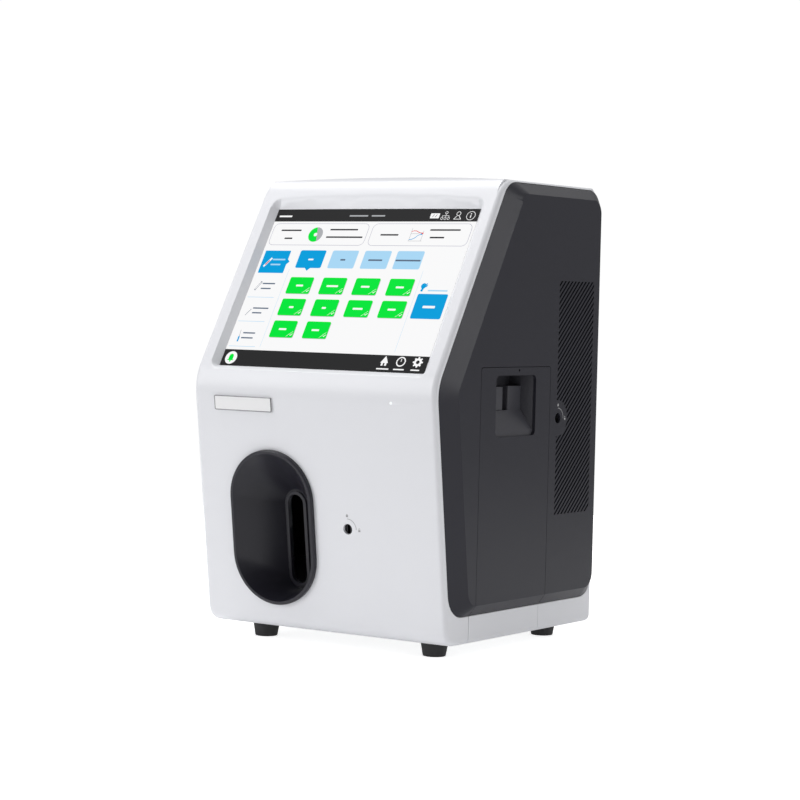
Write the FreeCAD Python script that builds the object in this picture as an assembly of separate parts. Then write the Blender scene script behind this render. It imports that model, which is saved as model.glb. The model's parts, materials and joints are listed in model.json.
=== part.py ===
import FreeCAD, Part
import math
import os

V = FreeCAD.Vector

# Bench-top blood gas analyzer. Millimetres. X to the right seen from the front, Y to the back,
# Z up. The origin is on the floor under the middle of the case.

# The white case
crown_rise = 3.0
foot_height = 13.5
face_lean = 7.5
screen_slope = 30.3
bend_radius = 45.0
toe_radius = 15.0
heel_radius = 6.0
brow_radius = 24.0
back_top_radius = 21.0
edge_round = 4.5
wall = 3.0
seam_gap = 0.4
pack_from_toe = 31.3
seam_from_brow = 19.3
floor_lip = 13.0
floor_back_lip = 9.0

# The dark side panels: outline steps in from the case, bevels step in from that outline
skirt_height = 23.5
face_strip = 5.0
top_strip = 2.3
back_strip = 2.5
panel_bulge = 6.6
panel_depth = 6.0
panel_wall = 2.5
bevel_front = 20.0
bevel_slope = 19.0
bevel_top = 9.0
bevel_back = 9.3
bevel_bottom = 8.7
panel_heel_radius = 20.0
panel_toe_radius = 22.0
panel_bend_radius = 38.0
panel_brow_radius = 21.0
panel_back_radius = 19.0
field_heel_radius = 13.0
field_toe_radius = 13.0
field_bend_radius = 18.0
field_brow_radius = 14.0
field_back_radius = 12.0

# The vent grille on the side panels
vent_to_back = 21.4
pack_to_vent = 11.5
vent_width = 59.4
vent_bottom = 100.0
vent_height = 201.5
vent_pitch = 5.2
vent_slot = 1.9
vent_slope = 48.0
vent_groove = 1.3
vent_lock_clear = 15.5
duct_inset = 13.0
duct_width = 33.0
duct_rise = 19.0
duct_height = 100.0

# The screen in its recess
screen_width = 211.2
screen_height = 158.4
recess_rise = 9.1
brow_margin = 13.5
recess_margin = 13.2
screen_sink = 5.7
recess_side = 5.3
recess_bottom = 6.2
recess_top = 8.4
recess_arch = 4.0
recess_radius = 9.0
screen_radius = 1.5
recess_wall = 2.6
glass_margin = 3.0
glass_thick = 1.8
module_margin_x = 4.0
module_margin_y = 8.0
module_thick = 8.0
module_gap = 0.3
bracket_thick = 1.2
bracket_ear_share = 0.75
boss_radius = 3.2
boss_bore = 1.25
screen_boss_inset = 6.7
driver_board_width = 120.0
driver_board_height = 60.0
board_thick = 1.6
spacer_height = 5.0

# The oval sampling port on the lower front
port_x = -45.6
port_rise = 21.2
face_margin = 59.2
port_width = 86.0
port_tall = 133.5
port_lip = 3.0
port_proud = 4.0
port_lip_width = 3.2
port_depth = 32.9
port_wall = 3.0
port_seat = 3.0
slot_width = 16.2
slot_tall = 77.7
slot_drop = 16.6
slot_rim = 3.1
slot_rim_rise = 1.5
slot_floor_margin = 1.2
bowl_tab_thick = 3.0
bowl_tab_tall = 15.0
bowl_tab_inset = 1.0
bowl_tab_gap = 1.2

# The sample probe behind the slot
probe_pivot_rise = 22.0
probe_pivot_gap = 15.5
probe_length = 64.0
probe_hub_radius = 6.5
probe_arm_width = 8.0
probe_arm_thick = 7.0
probe_arm_length = 32.0
needle_radius = 0.8
needle_bore = 0.4
needle_grip = 10.0
probe_shaft_radius = 2.5
probe_motor_radius = 12.5
probe_motor_clear = 6.9
probe_motor_gap = 4.5
probe_plate_thick = 1.5
probe_plate_below = 42.0
probe_plate_above = 18.0
probe_plate_front = 13.0
probe_plate_back = 26.0
shaft_clear = 0.05

# The quarter-turn locks
lock_radius = 4.2
lock_clear = 0.3
lock_sink = 2.0
lock_socket = 5.0
lock_socket_deep = 3.0
lock_sleeve_wall = 2.2
lock_sleeve_length = 10.0
cam_thick = 1.5
cam_width = 8.0
cam_gap = 0.5
front_lock_from_port = 76.6
front_lock_rise = 3.9
front_cam_hook = 3.1
side_lock_from_vent = 2.2
side_lock_drop = 28.7
side_cam_hook = 1.5

# Badge plate and status light
badge_side_gap = 23.2
badge_drop = 20.9
badge_width = 60.3
badge_tall = 12.2
badge_thick = 1.4
badge_round = 0.8
light_side_gap = 43.2
light_drop = 14.2
light_radius = 1.2
light_length = 6.0
light_flange = 2.4

# Base pan, bulkhead, top rail and feet
pan_thick = 1.5
pan_side_gap = 3.4
pan_front_gap = 16.2
pan_back_gap = 1.0
pan_flange = 32.0
bulkhead_x = -8.0
bulkhead_thick = 1.5
bulkhead_front_gap = 8.0
bulkhead_back_gap = 5.5
bulkhead_head_gap = 45.8
shoulder_drop = 25.5
bulkhead_top_width = 106.0
bulkhead_foot = 14.0
rail_thick = 1.5
rail_side_gap = 24.1
rail_depth = 66.5
rail_flange = 30.0
foot_side_gap = 36.1
foot_front_gap = 36.3
foot_back_gap = 24.0
foot_top_radius = 12.6
foot_bottom_radius = 9.6
foot_recess_radius = 5.0
foot_recess_depth = 5.0
screw_radius = 2.0
screw_head_radius = 3.8
screw_head_height = 2.4
screw_sink = 1.4
screw_clear = 0.2
nut_radius = 3.5
nut_height = 3.0

# The reagent pack
pack_width = 111.1
pack_rise = 16.2
pack_corner = 3.0
pack_gap = 0.45
pack_rim = 2.5
case_inner_end = 0.0
case_side_gap = 23.1
case_front_margin = 6.9
case_back_margin = 7.2
case_bottom = 10.5
case_top_margin = 6.2
case_wall = 2.0
cap_thick = 2.0
post_size = 8.0
post_inset = 8.0
post_gap = 0.5
bag_count = 4
bag_gap = 1.0
bag_bottom = 88.0
bag_headroom = 1.5
bag_round = 7.0
waste_headroom = 20.0
coupler_thick = 4.0
coupler_width = 60.0
coupler_tall = 14.0
coupler_height = 30.0
port_count = 5
port_pitch = 11.0
septum_bore = 1.3
supply_needle_radius = 0.8
supply_needle_length = 9.0
needle_plate_thick = 2.5
runner_width = 8.0
runner_length = 108.0
runner_inset = 14.0
runner_gap = 0.3
keeper_reach = 5.4
keeper_tall = 12.0
keeper_thick = 2.5
skirt_web = 3.0

# The grip in the pack's front
grip_shift = -0.2
grip_width = 63.5
grip_top_margin = 7.2
grip_tall = 51.0
grip_round = 4.5
grip_depth = 12.0
grip_deep = 24.0
grip_floor_rise = 21.3
grip_draft = 4.6
grip_plate_width = 21.1
grip_plate_tall = 20.2
grip_bar_gap = 7.7
grip_bar_width = 22.0
grip_bar_thick = 5.0
grip_bar_play = 0.4
grip_bar_stem = 10.0
grip_wall = 2.0
grip_edge_round = 1.2
guide_length = 6.0
pin_hole_radius = 1.1
pin_hole_rise = 4.2

# Measuring block and its sensor card
block_gap = 3.7
block_width = 60.0
block_rise = 21.5
block_tall = 70.0
block_thick = 44.0
pocket_inset = 8.0
pocket_depth = 16.0
card_gap = 0.5
card_thick = 9.0
sensor_rows = 2
sensor_columns = 4
sensor_radius = 4.0
sensor_rise = 2.0
cover_thick = 3.0
block_post = 6.0

# Peristaltic pump
pump_gap = 6.0
pump_rise = 40.0
pump_head_size = 50.0
pump_head_depth = 18.0
pump_head_floor = 2.0
pump_bore_radius = 21.6
pump_motor_radius = 16.0
pump_motor_length = 32.0
rotor_radius = 11.0
rotor_hub_radius = 4.0
rotor_plate = 2.0
roller_count = 4
roller_orbit = 11.8
roller_radius = 5.0
roller_pin_radius = 1.5
roller_gap = 0.3
pump_shaft_radius = 2.5
tube_radius = 1.9
tube_mid_radius = 19.6
tube_tail = 24.0

# Valves
valve_count = 3
valve_shift = 20.0
valve_pitch = 22.0
valve_gap = 25.0
valve_size = 18.0
valve_length = 26.0
valve_core_radius = 3.0
valve_core_length = 3.0
valve_plate = 4.0
valve_plate_margin = 3.0

# Electronics
board_back_gap = 9.0
board_width = 92.0
board_gap = 40.0
board_tall = 112.0
board_spacer = 8.0
board_spacer_radius = 3.0
board_inset = 5.0
chip_size = 20.0
chip_rise = 2.5
socket_width = 30.0
socket_size = 8.0
supply_side_gap = 12.1
supply_width = 82.0
supply_back_gap = 48.5
supply_depth = 78.0
supply_tall = 44.0
supply_slot = 2.0
supply_slot_pitch = 6.0
inlet_side_gap = 42.1
inlet_height = 45.0
inlet_width = 48.0
inlet_tall = 24.0
inlet_flange = 2.0
inlet_flange_margin = 3.0
inlet_body_depth = 24.0
inlet_well_width = 24.0
inlet_well_tall = 16.0
inlet_well_depth = 16.0
inlet_pin_width = 2.0
inlet_pin_thick = 4.0
inlet_pin_pitch = 7.0
inlet_well_shift = 7.0
rocker_shift = 16.5
rocker_width = 12.0
rocker_tall = 18.0
rocker_throw = 16.0
rocker_radius = 12.0
rocker_rise = -0.5
rocker_clear = 0.4
rocker_pin_radius = 1.2
ports_side_gap = 74.1
ports_height = 45.0
ports_width = 70.0
ports_tall = 20.0
ports_depth = 18.0
jack_count = 3
jack_width = 14.0
jack_tall = 11.0
jack_depth = 12.0
jack_pitch = 20.0
rear_screw_side_gap = 32.1

# Cooling fans
fan_count = 2
fan_size = 40.0
fan_thick = 10.0
fan_pitch = 49.0
fan_bore_radius = 18.5
fan_hub_radius = 9.0
fan_blade_count = 7
fan_blade_thick = 1.0
fan_blade_gap = 0.8
fan_blade_pitch = 32.0
fan_spoke = 2.5
fan_pin_radius = 1.5
fan_motor_radius = 8.0
fan_motor_thick = 3.0
shroud_wall = 2.0
shroud_gap = 0.3

# Sample tube and screen cable
hose_radius = 1.5
hose_bore = 0.7
ribbon_width = 20.0
ribbon_thick = 1.0

# A cut runs past its faces by this much, and flat parts rest with this gap where one moves
overrun = 1.0
run_gap = 0.3

# Overall sizes follow from what the case holds: the screen sets the width and the slope, the port
# sets the lower front, and the pack and the vents set the depth
lean = math.radians(face_lean)
slope = math.radians(screen_slope)
half_width = screen_width / 2 + recess_side + recess_margin
face_top = port_rise + port_tall + face_margin
bend_height = face_top * math.cos(lean)
screen_from_bend = recess_rise + recess_bottom + screen_height / 2
slope_length = screen_from_bend + screen_height / 2 + recess_top + recess_arch + brow_margin
bend_reach = bend_radius - bend_radius / math.cos((lean + slope) / 2) * math.cos((slope - lean) / 2)
overhang = bend_reach + math.tan(lean) * bend_height
case_depth = overhang + pack_from_toe + pack_width + pack_to_vent + vent_width + vent_to_back
half_depth = case_depth / 2
underside = foot_height
bend = (bend_reach - half_depth, underside + bend_height)
toe = (overhang - half_depth, underside)
heel = (half_depth, underside)
side_top = bend[1] + slope_length * math.cos(slope)
case_top_z = side_top + crown_rise
brow_y = bend[0] + slope_length * math.sin(slope)
panel_face_x = half_width + panel_bulge

# Places on the side, from front to back
seam_low_y = toe[0] + pack_from_toe
seam_top_y = brow_y + seam_from_brow
pack_back_y = seam_low_y + pack_width
pack_top = bend_height + pack_rise
case_outer_end = half_width - case_side_gap
case_front_y = seam_low_y + case_front_margin
case_back_y = pack_back_y - case_back_margin
case_top = pack_top - case_top_margin
grip_y = (seam_low_y + pack_back_y) / 2 + grip_shift
vent_y = pack_back_y + pack_to_vent
duct_bottom = vent_bottom + duct_rise
side_lock_y = vent_y + side_lock_from_vent
side_lock_height = bend_height - side_lock_drop
keeper_tip_y = case_back_y + keeper_reach
side_cam_reach = side_lock_y - keeper_tip_y + side_cam_hook

# Places on the leaning face
port_height = port_rise + port_tall / 2
port_body_width = port_width - 2 * port_lip
port_body_tall = port_tall - 2 * port_lip
bowl_tab_end = port_x + port_body_width / 2 - bowl_tab_inset
front_lock_x = port_x + front_lock_from_port
front_lock_height = port_height + front_lock_rise
front_cam_reach = front_lock_x - bowl_tab_end + front_cam_hook
badge_x = badge_side_gap + badge_width / 2 - half_width
badge_height = face_top - badge_drop
light_x = half_width - light_side_gap
light_height = face_top - light_drop
pivot_y = port_height + probe_pivot_rise
pivot_z = -(port_depth + port_wall + probe_pivot_gap)

# Places inside
pan_low = underside + wall
pan_top = pan_low + pan_thick
pan_x = half_width - wall - pan_side_gap
pan_front = toe[0] + pan_front_gap
pan_back = half_depth - wall - pan_back_gap
foot_x = half_width - foot_side_gap
foot_front_y = toe[0] + foot_front_gap
foot_back_y = half_depth - foot_back_gap
bulkhead_front = case_front_y + bulkhead_front_gap
bulkhead_back = pan_back - bulkhead_back_gap
bulkhead_top = side_top - bulkhead_head_gap
bulkhead_shoulder = bend[1] - shoulder_drop
bulkhead_neck_y = bulkhead_back - bulkhead_top_width
rail_half_width = half_width - rail_side_gap
rail_front = pan_back - rail_depth
supply_x = supply_side_gap - half_width
supply_y = pan_back - supply_back_gap - supply_depth
probe_plate_y = toe[0] - (pivot_y - probe_plate_below) * math.sin(lean)
block_y = probe_plate_y + (probe_plate_back - pivot_z) * math.cos(lean) + block_gap
block_height = pan_top + supply_tall + block_rise - underside
pump_y = block_y + block_width + pump_gap + pump_head_size / 2
pump_height = block_height + pump_rise
valve_y = block_y + block_width / 2 + valve_shift
valve_height = block_height + block_tall + valve_gap
board_y = bulkhead_back - board_back_gap - board_width
board_bottom = valve_height + board_gap
inlet_x = inlet_side_gap - half_width
ports_x = half_width - ports_side_gap
rear_screw_x = half_width - rear_screw_side_gap


def brow(top):
    """The point where the screen's slope would meet a flat top."""
    return (bend[0] + math.tan(slope) * (top - bend[1]), top)


def case_corners(top):
    """Side outline of the white case: heel, toe, bend, brow, back top."""
    return [heel, toe, bend, brow(top), (half_depth, top)]


case_radii = [heel_radius, toe_radius, bend_radius, brow_radius, back_top_radius]


# Outlines in the side plane
def inset(corners, steps):
    """Move each side of an outline inwards by its own step. Side i runs from corner i to i + 1."""
    count = len(corners)
    lines = []
    for index in range(count):
        y0, z0 = corners[index]
        y1, z1 = corners[(index + 1) % count]
        length = math.hypot(y1 - y0, z1 - z0)
        run = ((y1 - y0) / length, (z1 - z0) / length)
        inward = (run[1], -run[0])
        step = steps[index]
        lines.append(((y0 + inward[0] * step, z0 + inward[1] * step), run))
    moved = []
    for index in range(count):
        (ay, az), (ry, rz) = lines[index - 1]
        (by, bz), (sy, sz) = lines[index]
        cross = ry * sz - rz * sy
        along = ((by - ay) * sz - (bz - az) * sy) / cross
        moved.append((ay + ry * along, az + rz * along))
    return moved


def rounded_wire(corners, radii, place):
    """Closed wire with rounded corners. place turns a flat point into a point in space."""
    count = len(corners)
    stops = []
    for index in range(count):
        here = FreeCAD.Vector(corners[index][0], corners[index][1], 0)
        before = FreeCAD.Vector(corners[index - 1][0], corners[index - 1][1], 0)
        after = FreeCAD.Vector(corners[(index + 1) % count][0], corners[(index + 1) % count][1], 0)
        back = (before - here).normalize()
        on = (after - here).normalize()
        half_angle = back.getAngle(on) / 2
        radius = radii[index]
        reach = radius / math.tan(half_angle)
        middle = (back + on).normalize()
        centre = here + middle * (radius / math.sin(half_angle))
        stops.append((here + back * reach, centre - middle * radius, here + on * reach))
    edges = []
    for index in range(count):
        start, top, end = stops[index]
        following = stops[(index + 1) % count][0]
        edges.append(Part.Arc(place(start.x, start.y), place(top.x, top.y), place(end.x, end.y)).toShape())
        edges.append(Part.makeLine(place(end.x, end.y), place(following.x, following.y)))
    return Part.Wire(edges)


def side_wire(corners, radii, x):
    return rounded_wire(corners, radii, lambda y, z: V(x, y, z))


def side_prism(corners, radii, x0, x1):
    """Rounded side outline pushed out along X."""
    return Part.Face(side_wire(corners, radii, x0)).extrude(V(x1 - x0, 0, 0))


def side_loft(first, first_radii, x0, second, second_radii, x1):
    """Solid between two side outlines, with flat bevels."""
    wires = [side_wire(first, first_radii, x0), side_wire(second, second_radii, x1)]
    return Part.makeLoft(wires, True, True)


def polygon_prism(points, x0, x1):
    """Sharp outline of (y, z) points pushed out along X."""
    corners = [V(x0, y, z) for y, z in points]
    return Part.Face(Part.makePolygon(corners + corners[:1])).extrude(V(x1 - x0, 0, 0))


def box(x0, x1, y0, y1, z0, z1):
    return Part.makeBox(x1 - x0, y1 - y0, z1 - z0, V(x0, y0, z0))


def rod(x, y, z, axis, radius, length):
    return Part.makeCylinder(radius, length, V(x, y, z), axis)


def round_edges(shape, radius, wanted):
    """Round the edges that pass a test on the edge."""
    edges = [edge for edge in shape.Edges if wanted(edge)]
    return shape.makeFillet(radius, edges)


def along(edge, direction):
    """True for a straight edge that runs along a direction."""
    if not isinstance(edge.Curve, (Part.Line, Part.LineSegment)):
        return False
    run = (edge.Vertexes[1].Point - edge.Vertexes[0].Point).normalize()
    return abs(abs(run.dot(direction)) - 1) < seam_gap / (2 * half_width)


# The leaning face and the screen's slope each have a flat frame of their own: X to the right,
# Y up the surface and Z outwards
def face_frame():
    turn = FreeCAD.Rotation(V(1, 0, 0), math.degrees(math.pi / 2 + lean))
    return FreeCAD.Placement(V(0, toe[0], toe[1]), turn)


def slope_frame():
    turn = FreeCAD.Rotation(V(1, 0, 0), math.degrees(math.pi / 2 - slope))
    run = V(0, math.sin(slope), math.cos(slope)) * screen_from_bend
    return FreeCAD.Placement(V(0, bend[0], bend[1]) + run, turn)


def on_frame(shape, frame):
    """Move a shape modelled in a flat frame to its place on the case."""
    placed = shape.copy()
    placed.transformShape(frame.toMatrix(), True)
    return placed


def stadium_wire(width, tall, x, y, z):
    """Upright oval with straight sides, as quarter arcs and two lines."""
    radius = width / 2
    rise = tall / 2 - radius
    diagonal = radius * math.sqrt(0.5)
    right, left, top, low = x + radius, x - radius, y + rise, y - rise
    quarters = [
        (V(right, top, z), V(x + diagonal, top + diagonal, z), V(x, top + radius, z)),
        (V(x, top + radius, z), V(x - diagonal, top + diagonal, z), V(left, top, z)),
        (V(left, low, z), V(x - diagonal, low - diagonal, z), V(x, low - radius, z)),
        (V(x, low - radius, z), V(x + diagonal, low - diagonal, z), V(right, low, z)),
    ]
    arcs = [Part.Arc(*quarter).toShape() for quarter in quarters]
    sides = [Part.makeLine(V(left, top, z), V(left, low, z)),
             Part.makeLine(V(right, low, z), V(right, top, z))]
    return Part.Wire([arcs[0], arcs[1], sides[0], arcs[2], arcs[3], sides[1]])


def stadium_prism(width, tall, x, y, z0, z1):
    return Part.Face(stadium_wire(width, tall, x, y, z0)).extrude(V(0, 0, z1 - z0))


def stadium_loft(lower, upper):
    """Funnel between two ovals, each given as (width, tall, x, y, z)."""
    return Part.makeLoft([stadium_wire(*lower), stadium_wire(*upper)], True, True)


# The white case, first whole, then parted into front shell, rear cover and pack skirt
low_corners = case_corners(side_top)
panel_corners = inset(low_corners, [skirt_height, face_strip, face_strip, top_strip, back_strip])
panel_radii = [panel_heel_radius, panel_toe_radius, panel_bend_radius, panel_brow_radius, panel_back_radius]
field_corners = inset(panel_corners, [bevel_bottom, bevel_front, bevel_slope, bevel_top, bevel_back])
field_radii = [field_heel_radius, field_toe_radius, field_bend_radius, field_brow_radius, field_back_radius]


def crown_lens():
    """Region under the crown of the top, as a bar along Y."""
    half = half_width - edge_round
    floor_z = side_top - brow_radius
    arc = Part.Arc(V(half, -half_depth, side_top), V(0, -half_depth, case_top_z),
                   V(-half, -half_depth, side_top))
    edges = [
        arc.toShape(),
        Part.makeLine(V(-half, -half_depth, side_top), V(-half, -half_depth, floor_z)),
        Part.makeLine(V(-half, -half_depth, floor_z), V(half, -half_depth, floor_z)),
        Part.makeLine(V(half, -half_depth, floor_z), V(half, -half_depth, side_top)),
    ]
    return Part.Face(Part.Wire(edges)).extrude(V(0, case_depth, 0))


def case_solid():
    body = side_prism(low_corners, case_radii, -half_width, half_width)
    rims = [edge for edge in body.Edges if abs(abs(edge.CenterOfMass.x) - half_width) < overrun]
    body = body.makeFillet(edge_round, rims)
    crown = side_prism(case_corners(case_top_z), case_radii, -half_width, half_width).common(crown_lens())
    return body.fuse(crown).removeSplitter()


def case_hollow():
    corners = inset(low_corners, [wall] * len(low_corners))
    radii = [max(radius - wall, wall) for radius in case_radii]
    return side_prism(corners, radii, wall - half_width, half_width - wall)


case_whole = case_solid()
case_shell = case_whole.cut(case_hollow())
low_y = -half_depth - overrun
high_y = half_depth + overrun
low_z = underside - overrun
high_z = case_top_z + overrun
step_z = bend[1]


def front_region(gap):
    """Everything in front of the seam, which steps back where the side panels hide it."""
    wide = half_width + overrun
    lower = box(-wide, wide, low_y, seam_low_y - gap, low_z, step_z)
    upper = box(-wide, wide, low_y, seam_top_y - gap, step_z, high_z)
    return lower.fuse(upper)


def panel_windows():
    """The two openings in the case's sides that the dark panels fill."""
    corners = inset(panel_corners, [-seam_gap] * len(panel_corners))
    right = side_prism(corners, panel_radii, half_width - panel_depth - seam_gap, half_width + overrun)
    return right.fuse(right.mirror(V(0, 0, 0), V(1, 0, 0)))


def floor_window():
    lip = half_width - floor_lip
    return box(-lip, lip, toe[0] + floor_lip, half_depth - floor_back_lip, low_z, underside + wall + overrun)


def pack_region(gap):
    """The stretch of the right side that the pack's front fills, up to its top edge."""
    top = underside + pack_top - gap
    inner = half_width - floor_lip + gap
    block = box(inner, half_width + panel_bulge + overrun, seam_low_y + gap, pack_back_y - gap, low_z, top)
    tops = [edge for edge in block.Edges if along(edge, V(1, 0, 0))
            and edge.CenterOfMass.z > top - gap - overrun]
    return block.makeFillet(pack_corner, tops)


windows = panel_windows()
pack_opening = pack_region(0)
case_open = case_shell.cut([windows, floor_window()])


# Front shell: white moulding with the screen's recess and the openings of port, lock and light
def recess_wire(side, bottom, top, arch, radius, z):
    """Rectangle with rounded corners and an arched top edge, on the slope's frame."""
    x = screen_width / 2 + side
    low = -screen_height / 2 - bottom
    high = screen_height / 2 + top
    turn = radius * (1 - math.sqrt(0.5))
    edges = [
        Part.makeLine(V(-x + radius, low, z), V(x - radius, low, z)),
        Part.Arc(V(x - radius, low, z), V(x - turn, low + turn, z), V(x, low + radius, z)).toShape(),
        Part.makeLine(V(x, low + radius, z), V(x, high - radius, z)),
        Part.Arc(V(x, high - radius, z), V(x - turn, high - turn, z), V(x - radius, high, z)).toShape(),
        Part.Arc(V(x - radius, high, z), V(0, high + arch, z), V(-x + radius, high, z)).toShape(),
        Part.Arc(V(-x + radius, high, z), V(-x + turn, high - turn, z), V(-x, high - radius, z)).toShape(),
        Part.makeLine(V(-x, high - radius, z), V(-x, low + radius, z)),
        Part.Arc(V(-x, low + radius, z), V(-x + turn, low + turn, z), V(-x + radius, low, z)).toShape(),
    ]
    return Part.Wire(edges)


def recess_tool(grow, low, high):
    """The recess as a solid: wide at the surface, the screen's size at the sink depth."""
    arch = seam_gap + grow
    inner = recess_wire(grow, grow, grow, arch, screen_radius + grow, low)
    outer = recess_wire(recess_side + grow, recess_bottom + grow, recess_top + grow, recess_arch,
                        recess_radius, high)
    return Part.makeLoft([inner, outer], True, True)


def screen_bosses(hole):
    """Four bosses behind the recess that the display bracket is screwed to."""
    x = half_width - wall - screen_boss_inset
    y = screen_height / 2 * bracket_ear_share
    depth = screen_sink + glass_thick + module_gap + module_thick
    radius = boss_bore if hole else boss_radius
    low = -depth + (-overrun if hole else 0)
    length = depth - wall + (0 if hole else overrun / 2)
    return [rod(sx * x, sy * y, low, V(0, 0, 1), radius, length) for sx in (-1, 1) for sy in (-1, 1)]


def front_shell():
    shell = case_open.common(front_region(seam_gap / 2)).cut(pack_opening)
    frame = on_frame(recess_tool(recess_wall, -screen_sink, 0), slope_frame())
    bosses = [on_frame(boss, slope_frame()) for boss in screen_bosses(False)]
    shell = shell.fuse([frame.common(case_whole)] + bosses)
    recess = on_frame(recess_tool(0, -screen_sink, 0), slope_frame())
    mouth = on_frame(Part.Face(recess_wire(recess_side, recess_bottom, recess_top, recess_arch,
                                           recess_radius, 0)).extrude(V(0, 0, overrun)), slope_frame())
    bores = [on_frame(bore, slope_frame()) for bore in screen_bosses(True)]
    below = on_frame(screen_hole(), slope_frame())
    seat = stadium_prism(port_body_width + 2 * run_gap, port_body_tall + 2 * run_gap, port_x, port_height,
                         -wall - overrun, overrun)
    lock = rod(front_lock_x, front_lock_height, -wall - overrun, V(0, 0, 1), lock_radius + lock_clear,
               wall + 2 * overrun)
    light = rod(light_x, light_height, -wall - overrun, V(0, 0, 1), light_radius, wall + 2 * overrun)
    holes = [on_frame(shape, face_frame()) for shape in (seat, lock, light)]
    return shell.cut([recess, mouth, below] + bores + holes)


def screen_hole():
    """The straight hole under the recess that the screen is seen through."""
    x = screen_width / 2
    y = screen_height / 2
    return box(-x, x, -y, y, -screen_sink - recess_wall, -screen_sink + seam_gap)


# Rear cover: white top, back and rear sides, open for the inlet and the data ports
def rear_cover():
    cover = case_open.cut([front_region(-seam_gap / 2), pack_opening])
    deep = half_depth - wall - overrun
    inlet = box(inlet_x - inlet_width / 2, inlet_x + inlet_width / 2, deep, high_y,
                underside + inlet_height - inlet_tall / 2, underside + inlet_height + inlet_tall / 2)
    ports = box(ports_x - ports_width / 2, ports_x + ports_width / 2, deep, high_y,
                underside + ports_height - ports_tall / 2, underside + ports_height + ports_tall / 2)
    holes = [rod(x, deep, z, V(0, 1, 0), screw_radius + screw_clear, wall + 2 * overrun) for x,
             z in rear_screw_places()]
    sinks = [rod(x, half_depth - screw_sink, z, V(0, 1, 0), screw_head_radius + screw_clear,
                 screw_sink + overrun) for x, z in rear_screw_places()]
    return cover.cut([inlet, ports] + holes + sinks)


def rear_screw_places():
    """Lower screws go into the pan's flange, upper ones into the top rail's flange."""
    heights = (pan_top + pan_flange / 2, bulkhead_top - rail_flange / 2)
    return [(x, z) for x in (-rear_screw_x, rear_screw_x) for z in heights]


# Side panels: a bevelled dark tray on each side, with the vent grille
panel_seat_x = half_width - panel_depth


def panel_solid():
    rim = side_prism(panel_corners, panel_radii, panel_seat_x, half_width)
    bevel = side_loft(panel_corners, panel_radii, half_width, field_corners, field_radii, panel_face_x)
    return rim.fuse(bevel).removeSplitter()


def panel_hollow():
    corners = inset(panel_corners, [wall] * len(panel_corners))
    radii = [radius - wall for radius in panel_radii]
    inner = inset(field_corners, [panel_wall / 2] * len(field_corners))
    inner_radii = [radius - panel_wall / 2 for radius in field_radii]
    rim = side_prism(corners, radii, panel_seat_x - overrun, half_width - panel_wall)
    bevel = side_loft(corners, radii, half_width - panel_wall, inner, inner_radii, panel_face_x - panel_wall)
    return rim.fuse(bevel)


panel_whole = panel_solid()
panel_inside = panel_hollow()
vent_low = underside + vent_bottom
vent_high = vent_low + vent_height
duct_low_y = vent_y + duct_inset
duct_low_z = underside + duct_bottom


def vent_slots(x0, x1):
    """Slanting slots over the whole grille, before they are trimmed to its outline."""
    rise = vent_width / math.tan(math.radians(vent_slope))
    tall = vent_slot / math.sin(math.radians(vent_slope))
    count = int((vent_height + rise) / vent_pitch)
    slots = []
    for index in range(1, count + 1):
        z = vent_low - rise + index * vent_pitch
        points = [(vent_y, z), (vent_y + vent_width, z + rise), (vent_y + vent_width, z + rise + tall),
                  (vent_y, z + tall)]
        slots.append(polygon_prism(points, x0, x1))
    return Part.makeCompound(slots)


def vent_tools():
    """Shallow grooves over the grille, and through slots in front of the fans."""
    clear = rod(panel_face_x - wall, side_lock_y, underside + side_lock_height, V(1, 0, 0),
                vent_lock_clear, wall + overrun)
    field = box(panel_face_x - wall, panel_face_x + overrun, vent_y, vent_y + vent_width, vent_low,
                vent_high).cut(clear)
    grooves = vent_slots(panel_face_x - vent_groove, panel_face_x + overrun).common(field)
    duct = box(panel_face_x - panel_wall - overrun, panel_face_x, duct_low_y, duct_low_y + duct_width,
               duct_low_z, duct_low_z + duct_height).cut(clear)
    through = vent_slots(panel_face_x - panel_wall - overrun, panel_face_x - vent_groove).common(duct)
    return [grooves, through]


vents = vent_tools()


def right_panel():
    tray = panel_whole.cut(panel_inside)
    ring = box(panel_seat_x, panel_face_x, seam_low_y - pack_rim, pack_back_y + pack_rim, underside,
               underside + pack_top + pack_rim)
    lock = rod(panel_face_x - wall - overrun, side_lock_y, underside + side_lock_height, V(1, 0, 0),
               lock_radius + lock_clear, wall + 2 * overrun)
    pack_hole = box(panel_seat_x - overrun, panel_face_x + overrun, seam_low_y, pack_back_y, low_z,
                    underside + pack_top)
    pack_hole = round_edges(pack_hole, pack_corner, lambda edge: along(edge, V(1, 0, 0))
                            and edge.CenterOfMass.z > underside + overrun)
    return tray.fuse(panel_whole.common(ring)).cut([pack_hole, lock] + vents)


def left_panel():
    tray = panel_whole.cut(panel_inside).cut(vents)
    return tray.mirror(V(0, 0, 0), V(1, 0, 0))


# Base pan: bent sheet steel floor with a rear flange
def foot_places():
    return [(x, y) for x in (-foot_x, foot_x) for y in (foot_front_y, foot_back_y)]


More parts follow.
